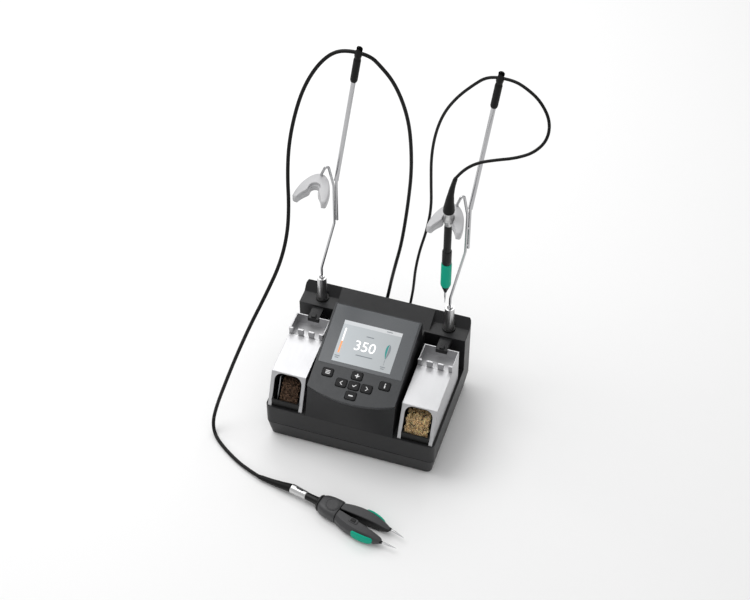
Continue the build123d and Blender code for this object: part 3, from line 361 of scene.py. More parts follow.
def build_finishes():
    """Every finish of the station."""
    GROUPS["moulded"] = moulded_surface_group()
    GROUPS["brushed"] = brushed_metal_group()
    moulded("housing plastic", (0.013, 0.013, 0.014), 0.4, grain=0.35, height=0.25, radius=1.2, gloss=0.32)
    moulded("console plastic", (0.02, 0.022, 0.025), 0.36, grain=0.3, height=0.2, radius=0.8, gloss=0.4)
    moulded("window glass", (0.035, 0.041, 0.048), 0.3, grain=1.5, height=0.02, mottle=0.05, radius=0.3,
            Coat_Weight=0.3, Coat_Roughness=0.25)
    moulded("key plastic", (0.006, 0.006, 0.007), 0.45, grain=0.25, height=0.2, radius=0.4, gloss=0.2)
    moulded("key print", (0.75, 0.75, 0.75), 0.5, grain=0.3, height=0.1, radius=0.05)
    moulded("black plastic", (0.005, 0.005, 0.005), 0.38, grain=0.3, height=0.3, radius=0.5, gloss=0.25)
    moulded("tweezer plastic", (0.05, 0.05, 0.052), 0.42, grain=0.3, height=0.35, radius=0.4, gloss=0.35)
    moulded("cord rubber", (0.004, 0.004, 0.004), 0.45, grain=0.2, height=0.3, mottle=0.25, radius=0.2, gloss=0.2)
    moulded("cap rubber", (0.004, 0.004, 0.004), 0.5, grain=0.3, height=0.4, radius=0.5, gloss=0.2)
    moulded("foot rubber", (0.02, 0.02, 0.02), 0.8, grain=0.5, height=0.5)
    moulded("green rubber", (0.0, 0.38, 0.245), 0.55, grain=0.35, height=0.5, mottle=0.12, radius=0.5, gloss=0.2)
    moulded("cast rest", (0.5, 0.5, 0.51), 0.38, grain=0.5, height=0.3, mottle=0.1, radius=0.6)
    moulded("circuit board", (0.02, 0.12, 0.05), 0.4)
    moulded("potting", (0.2, 0.14, 0.05), 0.5)
    moulded("wool shadow", (0.012, 0.008, 0.005), 0.8, grain=1.5, height=1.0, mottle=0.8)
    metal("satin steel", (0.54, 0.54, 0.55), 0.44, stretch=(1, 0.03, 1), lines=0.15, radius=0.9)
    metal("bright wire", (0.5, 0.5, 0.51), 0.14, stretch=(1, 1, 0.02), lines=0.15, radius=0.1)
    metal("nickel", (0.62, 0.62, 0.62), 0.32, stretch=(1, 1, 0.05), lines=0.2, radius=0.5)
    metal("tip metal", (0.72, 0.72, 0.73), 0.24, lines=0.1, radius=0.1)
    metal("new brass", (0.95, 0.72, 0.44), 0.2, lines=0.2, smudge=3.6, radius=0.02, scale=420.0)
    metal("used brass", (0.2, 0.13, 0.09), 0.35, lines=0.3, smudge=3.6, radius=0.02, scale=420.0)
    metal("powder coat", (0.04, 0.04, 0.04), 0.5, radius=0.5)


# ---- settings ----------------------------------------------------------------------------------
class CordSettings(bpy.types.PropertyGroup):
    """Sizes of the two cords."""

    left_diameter: bpy.props.FloatProperty(
        name="Left cord", description="Diameter of the tweezers' cord", default=0.0042, unit="LENGTH")
    right_diameter: bpy.props.FloatProperty(
        name="Right cord", description="Diameter of the handle's cord", default=0.0034, unit="LENGTH")


class WoolSettings(bpy.types.PropertyGroup):
    """How the brass wool is filled."""

    curls: bpy.props.IntProperty(name="Curls", description="Number of curls of swarf in each tray", default=1000)
    wire: bpy.props.FloatProperty(
        name="Wire", description="Half thickness of one curl", default=0.00026, unit="LENGTH")


class StageSettings(bpy.types.PropertyGroup):
    """Camera and light."""

    lens: bpy.props.FloatProperty(name="Lens", description="Focal length on a 36 mm sensor", default=84.906)
    key_power: bpy.props.FloatProperty(
        name="Key light", description="Power of the main soft box", default=12.0, unit="POWER")
    sky: bpy.props.FloatProperty(name="Sky", description="Strength of the even light all round", default=0.62)


# ---- cords -------------------------------------------------------------------------------------
PANEL_Y = 77.5  # rear panel's outer face, mm
LEFT_ROUTE = [
    (-18, 101.5, 50), (-18, 118.5, 50), (-17, 129, 65), (-14, 129, 86), (-7, 122, 122), (1, 118, 163),
    (7, 113, 207), (12, 108, 250), (15.5, 105, 293), (15.5, 103, 333), (13, 101, 370), (6, 98.5, 403),
    (-4, 95, 431), (-15.5, 91, 450), (-26.17, 85.88, 466.6), (-52.17, 85.88, 467.4), (-68, 82, 462),
    (-83, 76, 444), (-95, 68, 418), (-102, 58, 388), (-106, 47, 353), (-104, 34, 320), (-98, 19, 288),
    (-96, 5, 258), (-100, -11, 226), (-112, -29, 190), (-127, -46, 150), (-141, -61, 107), (-153, -72, 66),
    (-162, -79, 34), (-166, -86, 11), (-160, -97, 2.6), (-147, -109, 2.3), (-128, -122, 2.4), (-108, -133, 3.0),
    (-87.2, -141.1, 4.6)]
RIGHT_FEED = [
    (12, 101.5, 50), (12, 116.5, 50), (12.5, 126, 64), (15, 126, 86), (18, 121, 122), (24, 117, 162),
    (33, 113, 202), (39, 108.5, 245), (38.5, 105, 288), (38.5, 102.5, 328), (43, 100, 366), (52, 98, 399),
    (66, 96, 426), (82, 95, 447), (98.92, 93.23, 466), (111.92, 92.93, 467)]
RIGHT_LEAD = [
    (111.92, 92.93, 467), (124.92, 92.63, 468), (141, 88, 465), (158, 82, 457), (171, 75, 440), (171.5, 68, 420),
    (160, 61, 405), (142, 55.5, 397), (122, 50, 393.5), (104, 46, 388), (89.54, 43.5, 375.24), (82.5, 43.5, 362)]


class STATION_OT_cords(bpy.types.Operator):
    """Builds the three free cords as smooth pipes along their routes"""

    bl_idname = "station.cords"
    bl_label = "Cords"

    def execute(self, context):
        sizes = context.scene.station_cords
        jobs = [  # piece, route, diameter, node, length, far end, pieces on it, blend between two bodies
            ("left_cord_run", LEFT_ROUTE, sizes.left_diameter, "left_cord", 1.065, "tool",
             ["left_cord_plug_body", "tweezer_boot_body"], ("station", "left_mast", (0, 0, 0.12), (0, 0, 0.46))),
            ("right_feed_run", RIGHT_FEED, sizes.right_diameter, "right_feed_cord", 0.455, "fitting",
             ["right_cord_plug_body"], ("station", "right_mast", (0, 0, 0.12), (0, 0, 0.455))),
            ("right_lead_run", RIGHT_LEAD, sizes.right_diameter, "right_lead_cord", 0.2, "object",
             [], ("right_mast", "handle", (0, 0.0905, 0), (0, 0.0465, 0))),
        ]
        for name, route, diameter, node, length, far_end, pieces, bend in jobs:
            path = spline_points(np.asarray(route) * MM)
            cord = pipe(name, path, diameter / 2, ["cord rubber"], 16)
            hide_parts(node)
            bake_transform(cord)
        return {"FINISHED"}


class STATION_OT_plugs(bpy.types.Operator):
    """Builds the two moulded plugs on the rear panel"""

    bl_idname = "station.plugs"
    bl_label = "Plugs"

    def execute(self, context):
        profile = [(0, 0), (6.1, 0), (6.5, 0.5), (6.5, 3.5), (6.1, 3.9), (6.5, 4.3), (6.5, 7), (6.1, 7.4),
                   (6.5, 7.8), (6.5, 11.6), (6.2, 12), (5, 13.2), (4.6, 14), (4.5, 16), (4, 16.2), (4, 17),
                   (4.2, 17.2), (4.1, 18.4), (3.5, 18.6), (3.5, 19.4), (3.8, 19.6), (3.6, 20.8), (3.1, 21),
                   (3.1, 21.8), (3.3, 22), (3, 23.8), (0, 24)]
        for side, route in (("left", LEFT_ROUTE), ("right", RIGHT_FEED)):
            x, _, z = route[0]
            plug = lathe(side + "_cord_plug_body", profile, (x, PANEL_Y, z), "cord rubber", axis="Y", m=40)
            place(plug, "station", "cord_black", side + "_cord_plug")
        return {"FINISHED"}


# ---- right handle ------------------------------------------------------------------------------
REST_X, REST_Y, REST_LOW = 76.5, 43.5, 291.5  # middle and underside of the right tool rest, mm
HANDLE_PARTS = [  # piece, node, slot, finish, points round, (radius, height)
    ("handle_collar_body", "handle_collar", "nickel", "nickel", 48, [
        (0, 291), (4.35, 291), (4.55, 291.3), (4.55, 298.7), (4.65, 299), (6.2, 299), (6.4, 299.2), (6.3, 300.2),
        (5.6, 301.4), (5.2, 303), (5.15, 305), (5.3, 308), (5.5, 309.6), (5.4, 310), (0, 310)]),
    ("handle_barrel", "handle_body", "trim_black", "black plastic", 48, [
        (0, 231), (5.2, 231), (5.45, 231.4), (5.45, 236.6), (5.3, 236.8), (5.3, 237.4), (5.45, 237.6), (5.45, 249),
        (5.2, 250.3), (4.35, 251), (4.35, 256), (4.2, 256.2), (4.2, 256.8), (4.35, 257), (4.35, 290.6), (4.2, 291),
        (0, 291)]),
    ("handle_grip_sleeve", "handle_grip", "grip_green", "green rubber", 48, [
        (0, 195), (5.1, 195), (5.5, 195.5), (5.8, 196.6), (6.0, 198.2), (6.0, 229), (5.85, 230.4), (5.6, 231),
        (0, 231)]),
    ("handle_nose_cone", "handle_nose", "trim_black", "black plastic", 48, [
        (0, 184), (1.5, 184), (1.8, 184.3), (2.1, 186), (3.2, 189), (4.3, 192), (4.6, 193.2), (4.6, 195), (0, 195)]),
    ("handle_tip", "handle_cartridge", "tip_metal", "tip metal", 24, [
        (0, 166), (0.32, 166.05), (0.42, 166.6), (0.5, 169), (0.7, 173), (0.85, 175), (1.1, 175.6), (1.2, 176),
        (1.2, 183.9), (1.2, 184), (0, 184)]),
]


class STATION_OT_handle(bpy.types.Operator):
    """Builds the soldering handle: boot, collar, body, grip, nose and cartridge"""

    bl_idname = "station.handle"
    bl_label = "Handle"

    def execute(self, context):
        s = np.linspace(0, 1, 60)
        bend = np.column_stack([REST_X + 6.0 * s ** 2.2, np.full(60, REST_Y), 310 + 52 * s]) * MM
        radius = ease(
            s, [0, 0.02, 0.06, 0.14, 0.3, 0.55, 0.8, 0.965, 0.97, 1.0],
            [5.6, 6.3, 6.5, 6.1, 4.9, 3.5, 2.75, 2.45, 2.2, 2.05])
        place(pipe("handle_boot_body", bend, radius * MM, ["cap rubber"], 40), "handle", "cord_black", "handle_boot")
        for name, node, slot, kind, m, profile in HANDLE_PARTS:
            place(lathe(name, profile, (REST_X, REST_Y, 0), kind, m=m), "handle", slot, node)
        return {"FINISHED"}


# ---- tool rests --------------------------------------------------------------------------------
class STATION_OT_rests(bpy.types.Operator):
    """Builds the two cast rests: a rounded bar bent round an open seat"""

    bl_idname = "station.rests"
    bl_label = "Tool rests"

    def execute(self, context):
        inner = np.array([
            (-14.2, -21.4), (-12.6, -16.6), (-10.4, -12.4), (-7.8, -8.8), (-5.4, -5.8), (-4.9, -3.4), (-5.0, -1.4),
            (-5.2, 0), (-4.5, 2.6), (-2.6, 4.5), (0, 5.2)], float)
        outer = np.array([
            (-19.3, -20.6), (-19.4, -16.0), (-19.2, -11.0), (-18.6, -6.0), (-17.6, -1.0), (-16.6, 3.0), (-15.0, 7.4),
            (-12.8, 12.0), (-9.6, 17.4), (-5.0, 21.8), (0, 23.3)], float)
        ledge = np.array([0.25, 0.3, 0.5, 0.8, 1.2, 1.9, 2.1, 2.1, 2.1, 2.1, 2.1])
        u = np.concatenate([0.6 * (1 - np.cos(np.linspace(0, 1, 10) * math.pi / 2)), np.linspace(0.8, 10, 56)])
        k = np.arange(11)
        left_in = np.column_stack([np.interp(u, k, inner[:, i]) for i in (0, 1)])
        left_out = np.column_stack([np.interp(u, k, outer[:, i]) for i in (0, 1)])
        kernel = np.array([1, 2, 3, 4, 3, 2, 1]) / 16.0
        for line in (left_in, left_out):
            for i in (0, 1):
                line[13:-3, i] = np.convolve(line[10:, i], kernel, "valid")
        shelf = np.interp(u, k, ledge)
        round_end = np.sqrt(1 - (1 - np.clip(u / 0.6, 0, 1)) ** 2) * 0.97 + 0.03
        flip = np.array([-1, 1])
        near = np.concatenate([left_in, left_in[-2::-1] * flip])
        far = np.concatenate([left_out, left_out[-2::-1] * flip])
        step = np.concatenate([shelf, shelf[-2::-1]])
        grow = np.concatenate([round_end, round_end[-2::-1]])
        across = far - near
        width = np.linalg.norm(across, axis=1, keepdims=True)
        out = across / width
        deep = 10.5
        w = width[:, 0]
        soft = np.minimum(1.6, w * 0.3)
        lo = np.zeros_like(w)
        section = [
            (lo + 0.5, 0), (lo, 0.5), (lo, deep - 3.2), (lo + 0.2, deep - 3.0), (step, deep - 3.0),
            (step, deep - 0.5), (step + 0.4, deep), (w - soft, deep), (w - soft * 0.4, deep - 0.5),
            (w, deep - 1.9), (w, 1.9), (w - soft * 0.4, 0.5), (w - soft, 0)]
        rings = np.stack([np.column_stack([near + out * a[:, None], lo + b + REST_LOW]) for a, b in section], 1)
        middle = rings.mean(1, keepdims=True)
        rings = middle + (rings - middle) * grow[:, None, None]
        for side, x in (("left", -REST_X), ("right", REST_X)):
            rest = loft(side + "_rest_body", (rings + [x, REST_Y, 0]) * MM, ["cast rest"], sharp=45)
            place(rest, side + "_mast", "cast_metal", side + "_tool_rest")
        return {"FINISHED"}


# ---- tweezers ----------------------------------------------------------------------------------
TWEEZER_X, TWEEZER_Y, TWEEZER_TURN = 9.3, -160.7, math.radians(-13.4)


def tweezer_place(t, s, z):
    """From along, across and up in the tweezers' own axes to the station's: a turn and a shift."""
    c, d = math.cos(TWEEZER_TURN), math.sin(TWEEZER_TURN)
    return np.stack([TWEEZER_X + t * c - s * d, TWEEZER_Y + t * d + s * c, z + 0 * t], -1)


def tweezer_block(name, at, half, heights, scales, power, kind):
    """A small raised block: superellipses of scaled outline at rising heights."""
    outline = superellipse(32, power) * np.asarray(scales)[:, None, None]
    height = np.asarray(heights)[:, None] + np.zeros(32)
    rings = tweezer_place(at[0] + half[0] * outline[..., 0], at[1] + half[1] * outline[..., 1], height)
    return loft(name, rings * MM, [kind], sharp=40)


def tweezer_loft(name, t, low, high, bottom, top, power, kind):
    """A body along the tweezers: each section is a superellipse between low..high across and bottom..top."""
    c = superellipse(40, power)
    s = (low + high)[:, None] / 2 + (high - low)[:, None] / 2 * c[:, 0]
    z = (bottom + top)[:, None] / 2 + (top - bottom)[:, None] / 2 * c[:, 1]
    rings = tweezer_place(np.repeat(t[:, None], 40, 1), s, z)
    return loft(name, rings * MM, [kind], sharp=40)


class STATION_OT_tweezers(bpy.types.Operator):
    """Builds the hot tweezers: body with disc, neck, collar, boot, arms, pads, slider and tips"""

    bl_idname = "station.tweezers"
    bl_label = "Tweezers"

    def execute(self, context):
        plastic, black = "tweezer plastic", "black plastic"
        axis = 9.0
        t = np.array([-15.2, -14.9, -14, -12, -9, -5, 0, 4, 8, 9.0, 9.3])
        half = np.array([8.6, 9.0, 9.6, 10.7, 11.8, 12.6, 13.0, 13.2, 13.2, 13.0, 12.6])
        high = np.array([16.2, 16.6, 16.9, 17.1, 17.3, 17.5, 17.6, 17.5, 17.2, 17.0, 16.6])
        body = tweezer_loft("tweezer_body_shell", t, -half, half, 0.3 + 0 * t, high, 3.6, plastic)
        place(body, "station", "trim_black", "tweezer_body")
        t = np.array([-19.2, -19, -18.2, -16.2, -15.4, -15.2])
        half = np.array([6.0, 6.6, 8.4, 9.6, 9.2, 8.6])
        ring = tweezer_loft("tweezer_rear_ring", t, -half, half, axis - half * 0.93, axis + half * 0.86, 2.8, black)
        place(ring, "station", "trim_black")
        t = np.array([-36, -34, -30, -26, -22, -19])
        half = np.array([4.2, 4.3, 4.4, 4.5, 4.7, 5.4])
        neck = tweezer_loft("tweezer_neck", t, -half, half, axis - half, axis + half, 2.2, black)
        place(neck, "station", "trim_black")
        disc = lathe("tweezer_disc", [
            (0, 16.4), (8.1, 16.4), (8.3, 16.6), (8.3, 17.6), (8.0, 18.0), (7.5, 18.0), (7.2, 17.7), (6.9, 17.7),
            (6.6, 18.0), (0, 18.0)], tweezer_place(0, 0, 0), plastic, m=56)
        place(disc, "station", "trim_black")
        t = -55.5 + 20.3 * np.array([0, 0.01, 0.04, 0.3, 0.5, 0.7, 0.96, 0.99, 1.0])
        radius = np.array([5.1, 5.5, 5.6, 5.5, 5.3, 5.15, 5.0, 4.9, 4.5]) * MM
        collar = pipe("tweezer_collar_sleeve", tweezer_place(t, 0, axis) * MM, radius, ["nickel"], 40)
        place(collar, "station", "nickel", "tweezer_collar")
        slot = tweezer_block(
            "tweezer_collar_slot", (-44.5, 0.5), (4.5, 1.2), [13.0, 14.7, 14.9], [1, 1, 0.9], 5.0, plastic)
        place(slot, "station", "trim_black")
        a, b = tweezer_place(-55.4, 0, axis), np.array(LEFT_ROUTE[-1])
        s = np.linspace(0, 1, 50)
        path = a + (b - a) * s[:, None]
        path[:, 2] -= 1.1 * np.sin(s * math.pi)
        radius = ease(s, [0, 0.02, 0.06, 0.35, 0.7, 0.92, 0.925, 1], [4.6, 5.0, 4.9, 4.15, 3.3, 2.9, 2.65, 2.5])
        boot = pipe("tweezer_boot_body", path * MM, radius * MM, ["cap rubber"], 36)
        place(boot, "station", "cord_black", "tweezer_boot")
        for word, hand in (("near", -1), ("far", 1)):
            self.arm(word, hand, plastic, black)
        for word, half, z, kind in (("frame", (5.6, 3.2), 17.2, plastic), ("knob", (3.2, 2.1), 17.9, black)):
            slider = tweezer_block(
                "tweezer_slider_" + word, (31.5, -6.2), half, [15.2, z - 0.3, z, z], [1, 1, 0.93, 0.86], 6.0, kind)
            place(slider, "near_arm", "arm_black")
        return {"FINISHED"}

    def arm(self, word, hand, plastic, black):
        """One arm: a curved shell, its green pad, a dark holder and the tip."""
        body = word + "_arm"
        t = np.array([10, 10.3, 14, 20, 28, 36, 44, 52, 58, 63, 66, 68, 69.2, 70])
        low = np.array([1.3, 1.0, 1.2, 1.8, 2.5, 3.3, 4.1, 4.9, 5.4, 5.9, 6.3, 6.7, 7.3, 8.0])
        high = np.array([12.9, 13.2, 14.6, 16.4, 18.0, 18.7, 18.6, 17.6, 16.3, 14.8, 13.6, 12.7, 12.2, 11.6])
        bottom = np.array([1.2, 0.8, 0.7, 0.6, 0.6, 0.6, 0.7, 1.0, 1.8, 3.2, 4.4, 5.2, 5.8, 6.6])
        top = np.array([16.0, 16.4, 16.5, 16.5, 16.4, 16.2, 15.8, 15.0, 14.0, 12.8, 12.0, 11.4, 11.0, 10.4])
        u = np.linspace(0, 13, 53)
        t, low, high, bottom, top = (np.interp(u, np.arange(14), v) for v in (t, low, high, bottom, top))
        k = np.clip((high - low) / 13, 0.2, 1)
        section = [
            (low, bottom + 1.2 * k), (low + 1.2 * k, bottom), (high - 2.8 * k, bottom),
            (high - 0.5 * k, bottom + 3.0 * k),
            (high, bottom + 6.5 * k), (high - 0.5 * k, top - 5.0 * k), (high - 3.4 * k, top - 0.9 * k),
            (high - 4.4 * k, top), (low + 0.8 * k, top), (low, top - 0.8 * k)]
        if hand < 0:
            section = [(-a, b) for a, b in section[::-1]]
        rings = np.stack([tweezer_place(t, a, b) for a, b in section], 1)
        slots = np.concatenate([np.tile([0] * 9 + [1], len(t) - 1), [0, 0]])
        shell = loft("tweezer_%s_shell" % word, rings * MM, [plastic, black], slots, sharp=24)
        place(shell, body, "arm_black", "tweezer_%s_arm" % word)
        t = np.array([35, 35.4, 36.8, 39.5, 43, 47.5, 52, 56, 59, 60.6, 61.4])
        outer = np.array([17.8, 18.7, 19.2, 19.4, 19.45, 19.1, 18.5, 17.6, 16.5, 15.6, 14.8])
        depth = np.array([1.0, 2, 3, 3, 3, 3, 3, 3, 3, 2, 1.0])
        mid = np.array([9.0, 9.0, 9.0, 9.0, 9.0, 8.8, 8.6, 8.4, 8.2, 8.1, 8.0])
        tall = np.array([2.4, 4.2, 5.4, 6.0, 6.2, 6.2, 6.0, 5.5, 4.6, 3.4, 1.8]) * (1.0 if hand < 0 else 0.68)
        u = np.linspace(0, 10, 41)
        t, outer, depth, mid, tall = (np.interp(u, np.arange(11), v) for v in (t, outer, depth, mid, tall))
        low, high = (outer - depth, outer) if hand > 0 else (-outer, depth - outer)
        pad = tweezer_loft("tweezer_%s_grip" % word, t, low, high, mid - tall, mid + tall, 3.0, "green rubber")
        place(pad, body, "grip_green", "tweezer_%s_pad" % word)
        a = np.array([68.5, hand * 10.3, 8.6])
        b = np.array([89.0, hand * 8.25, 8.5])
        s = np.array([0, 0.02, 0.13, 0.15, 0.16, 0.2, 0.55, 0.6, 0.8, 0.97, 1.0])
        r = np.array([1.9, 2.0, 1.9, 1.75, 1.5, 1.42, 1.36, 1.1, 0.7, 0.34, 0.12])
        path = a + (b - a) * s[:, None]
        path = tweezer_place(path[:, 0], path[:, 1], path[:, 2]) * MM
        slots = np.concatenate([np.repeat(np.array([1, 1, 1, 1, 0, 0, 0, 0, 0, 0]), 24), [1, 0]])
        tip = pipe("tweezer_%s_point" % word, path, r * MM, ["tip metal", black], 24, slots)
        place(tip, body, "tip_metal", "tweezer_%s_tip" % word)


# ---- console -----------------------------------------------------------------------------------
CONSOLE_TILT = math.radians(17.16)
CONSOLE_BACK, CONSOLE_TOP = 37.3, 129.7  # place of the slope's upper end, mm


def console_place(u, down, out):
    """From across, down the slope and out of it to the station's axes."""
    c, s = math.cos(CONSOLE_TILT), math.sin(CONSOLE_TILT)
    return np.stack([u + 0 * out, CONSOLE_BACK - down * c - out * s, CONSOLE_TOP - down * s + out * c], -1)


def strokes(parts, lift):
    """Flat rectangles, each (x, y, length, width, degrees), as points and quads raised by lift."""
    parts = np.asarray(parts, float)
    a = np.radians(parts[:, 4])
    along = np.stack([np.cos(a), np.sin(a)], -1) * parts[:, 2:3] / 2
    side = np.stack([-np.sin(a), np.cos(a)], -1) * parts[:, 3:4] / 2
    centre = parts[:, :2]
    corners = np.stack([
        centre - along - side, centre + along - side, centre + along + side, centre - along + side], 1)
    return corners, np.full(corners.shape[:2], lift), np.arange(len(parts) * 4).reshape(-1, 4)


KEY_MARKS = {
    "key_plus": [(0, 0, 5.2, 1.2, 0), (0, 1.6, 2.0, 1.2, 90), (0, -1.6, 2.0, 1.2, 90)],
    "key_minus": [(0, 0, 5.2, 1.4, 0)],
    "key_back": [(-0.3, 1.1, 4.0, 0.8, 42), (-0.3, -1.1, 4.0, 0.8, -42)],
    "key_next": [(0.3, 1.1, 4.0, 0.8, -42), (0.3, -1.1, 4.0, 0.8, 42)],
    "key_ok": [(-0.9, -0.5, 2.4, 0.9, -45), (1.1, 0.2, 4.0, 0.9, 45)],
    "key_menu": [(0, 2.0, 5.4, 0.9, 0), (0, 0.2, 5.4, 0.9, 0), (0, -1.6, 5.4, 0.9, 0)],
    "key_info": [(0, 2.5, 1.3, 1.3, 0), (0, -0.8, 3.6, 1.3, 90)],
}
KEY_PLACES = {
    "key_menu": (-34.2, 87.4), "key_plus": (0.0, 83.5), "key_back": (-15.1, 96.1), "key_ok": (0.0, 96.1),
    "key_next": (15.1, 96.1), "key_minus": (0.0, 108.7), "key_info": (34.2, 87.4)}


class STATION_OT_keys(bpy.types.Operator):
    """Builds the seven keys as pillowed caps with their printed marks"""

    bl_idname = "station.keys"
    bl_label = "Keys"

    def execute(self, context):
        m = 40
        outline = superellipse(m, 5.0) * [6.5, 5.2]
        grow = np.array([1.0, 1.0, 0.995, 0.97, 0.9, 0.7, 0.4, 0.02])[:, None]
        out = np.array([-5.5, 0.1, 0.45, 0.72, 0.84, 0.86, 0.84, 0.82])
        for name, (u, down) in KEY_PLACES.items():
            x, y = outline[:, 0] * grow, outline[:, 1] * grow
            rings = console_place(u + x, down - y, np.repeat(out[:, None], m, 1))
            corners, lift, quads = strokes(KEY_MARKS[name], 0.895)
            marks = console_place(u + corners[..., 0], down - corners[..., 1], lift)
            points = np.concatenate([rings.reshape(-1, 3), marks.reshape(-1, 3)])
            faces = np.concatenate([shell_faces(8, m), quads + 8 * m])
            caps = [list(range(m))[::-1], list(range(7 * m, 8 * m))]
            slots = np.concatenate([np.zeros(7 * m), np.ones(len(quads)), np.zeros(2)])
            key = add_mesh(name + "_cap", points * MM, faces, ["key plastic", "key print"], caps, slots)
            place(key, name + "_cap", "keys", name)
        return {"FINISHED"}


def lit_finish(name, low, high, strength):
    """A lit screen colour that fades from low to high across the screen."""
    tree, shader = new_material(name)
    coords = tree.nodes.new("ShaderNodeTexCoord").outputs["Object"]
    split = tree.nodes.new("ShaderNodeSeparateXYZ")
    link(tree, (coords, split.inputs["Vector"]))
    half = 0.035
    fade = math_node(tree, "MULTIPLY", math_node(tree, "ADD", split.outputs["X"], half), 14.3, True)
    soft = math_node(tree, "MULTIPLY", noise(tree, coords, 60.0, 2.0), 0.12)
    colour = mix_colour(tree, math_node(tree, "ADD", fade, soft, True), (*low, 1), (*high, 1))
    link(tree, (colour, shader.inputs["Emission Color"]), (colour, shader.inputs["Base Color"]))
    shader.inputs["Emission Strength"].default_value = strength
    shader.inputs["Roughness"].default_value = 0.35


SCREEN_COLOURS = {  # left, right, strength
    "screen ground": ((0.4, 0.43, 0.45), (0.33, 0.35, 0.36), 0.3),
    "screen bar": ((0.5, 0.52, 0.54), (0.48, 0.49, 0.5), 0.3),
    "screen white": ((0.9, 0.9, 0.9), (0.95, 0.95, 0.95), 0.35),
    "screen orange": ((0.9, 0.3, 0.08), (0.9, 0.32, 0.1), 0.35),
    "screen grey": ((0.16, 0.18, 0.2), (0.18, 0.2, 0.22), 0.1),
    "screen teal": ((0.0, 0.2, 0.2), (0.0, 0.22, 0.2), 0.2),
}


class STATION_OT_screen(bpy.types.Operator):
    """Builds the lit screen, its number, bars and small tool picture on the window's face"""

    bl_idname = "station.screen"
    bl_label = "Window and screen"

    def execute(self, context):
        kinds = list(SCREEN_COLOURS)
        for kind, (low, high, strength) in SCREEN_COLOURS.items():
            lit_finish(kind, low, high, strength)
        plates = [
            ([(0, 45.3, 70, 52.6, 0)], 0), ([(0, 21.4, 70, 4.8, 0)], 1),
            ([(-30.4, 37.0, 1.9, 17, 0)], 2), ([(-30.4, 53.0, 1.9, 15, 0)], 3),
            ([(0, 33.5, 9, 1.1, 0), (0, 58.5, 20, 1.1, 0), (-30.4, 64.5, 6, 1.0, 0), (-30.4, 66.8, 4.5, 1.0, 0),
              (20, 21.4, 7, 1.0, 0), (24.5, 65.4, 6, 1.0, 0), (24.5, 67.6, 4, 1.0, 0),
              (24.5, 58.2, 5, 0.5, 90), (24.5, 62.2, 0.9, 0.9, 0)], 4),
        ]
        points, faces, slots = [], [], []
        count = 0
        for index, (parts, kind) in enumerate(plates):
            corners, _, quads = strokes(parts, 0)
            lift = np.full(corners.shape[:2], 0.04 + 0.03 * index)
            points.append(console_place(corners[..., 0], corners[..., 1], lift).reshape(-1, 3))
            faces += (quads[:, ::-1] + count).tolist()
            slots += [kind] * len(quads)
            count += corners.shape[0] * 4
        s = np.linspace(0, 1, 14)
        bulge = 2.7 * np.sin(math.pi * s ** 0.7) ** 0.8 + 0.12
        for hand, kind in ((-1, 5), (1, 4)):
            down = 36.5 + 19 * s
            left = np.column_stack([24.5 + bulge * (-1 if hand < 0 else 0.12), down])
            right = np.column_stack([24.5 + bulge * (-0.12 if hand < 0 else 1), down])
            both = np.stack([left, right], 1)
            points.append(console_place(both[..., 0], both[..., 1], np.full(both.shape[:2], 0.2)).reshape(-1, 3))
            i = np.arange(13) * 2 + count
            faces += np.stack([i + 1, i, i + 2, i + 3], -1).tolist()
            slots += [kind] * 13
            count += 28
        picture = add_mesh(
            "screen_picture", np.concatenate(points) * MM, faces, kinds, slots=slots, smooth=False)
        place(picture, "station", "screen", "lcd_module")
        curve = bpy.data.curves.new("number", "FONT")
        curve.body = "350"
        curve.align_x = "CENTER"
        curve.align_y = "CENTER"
        curve.size = 17.5
        curve.offset = 0.08
        mesh, co = evaluated(curve)
        co = console_place(co[:, 0] - 2.4, 47.4 - co[:, 1], np.full(len(co), 0.22)) * MM
        mesh.vertices.foreach_set("co", co.ravel())
        mesh.materials.clear()
        mesh.materials.append(FINISHES["screen white"])
        mesh.update()
        place(show("screen_number", mesh), "station", "screen")
        return {"FINISHED"}


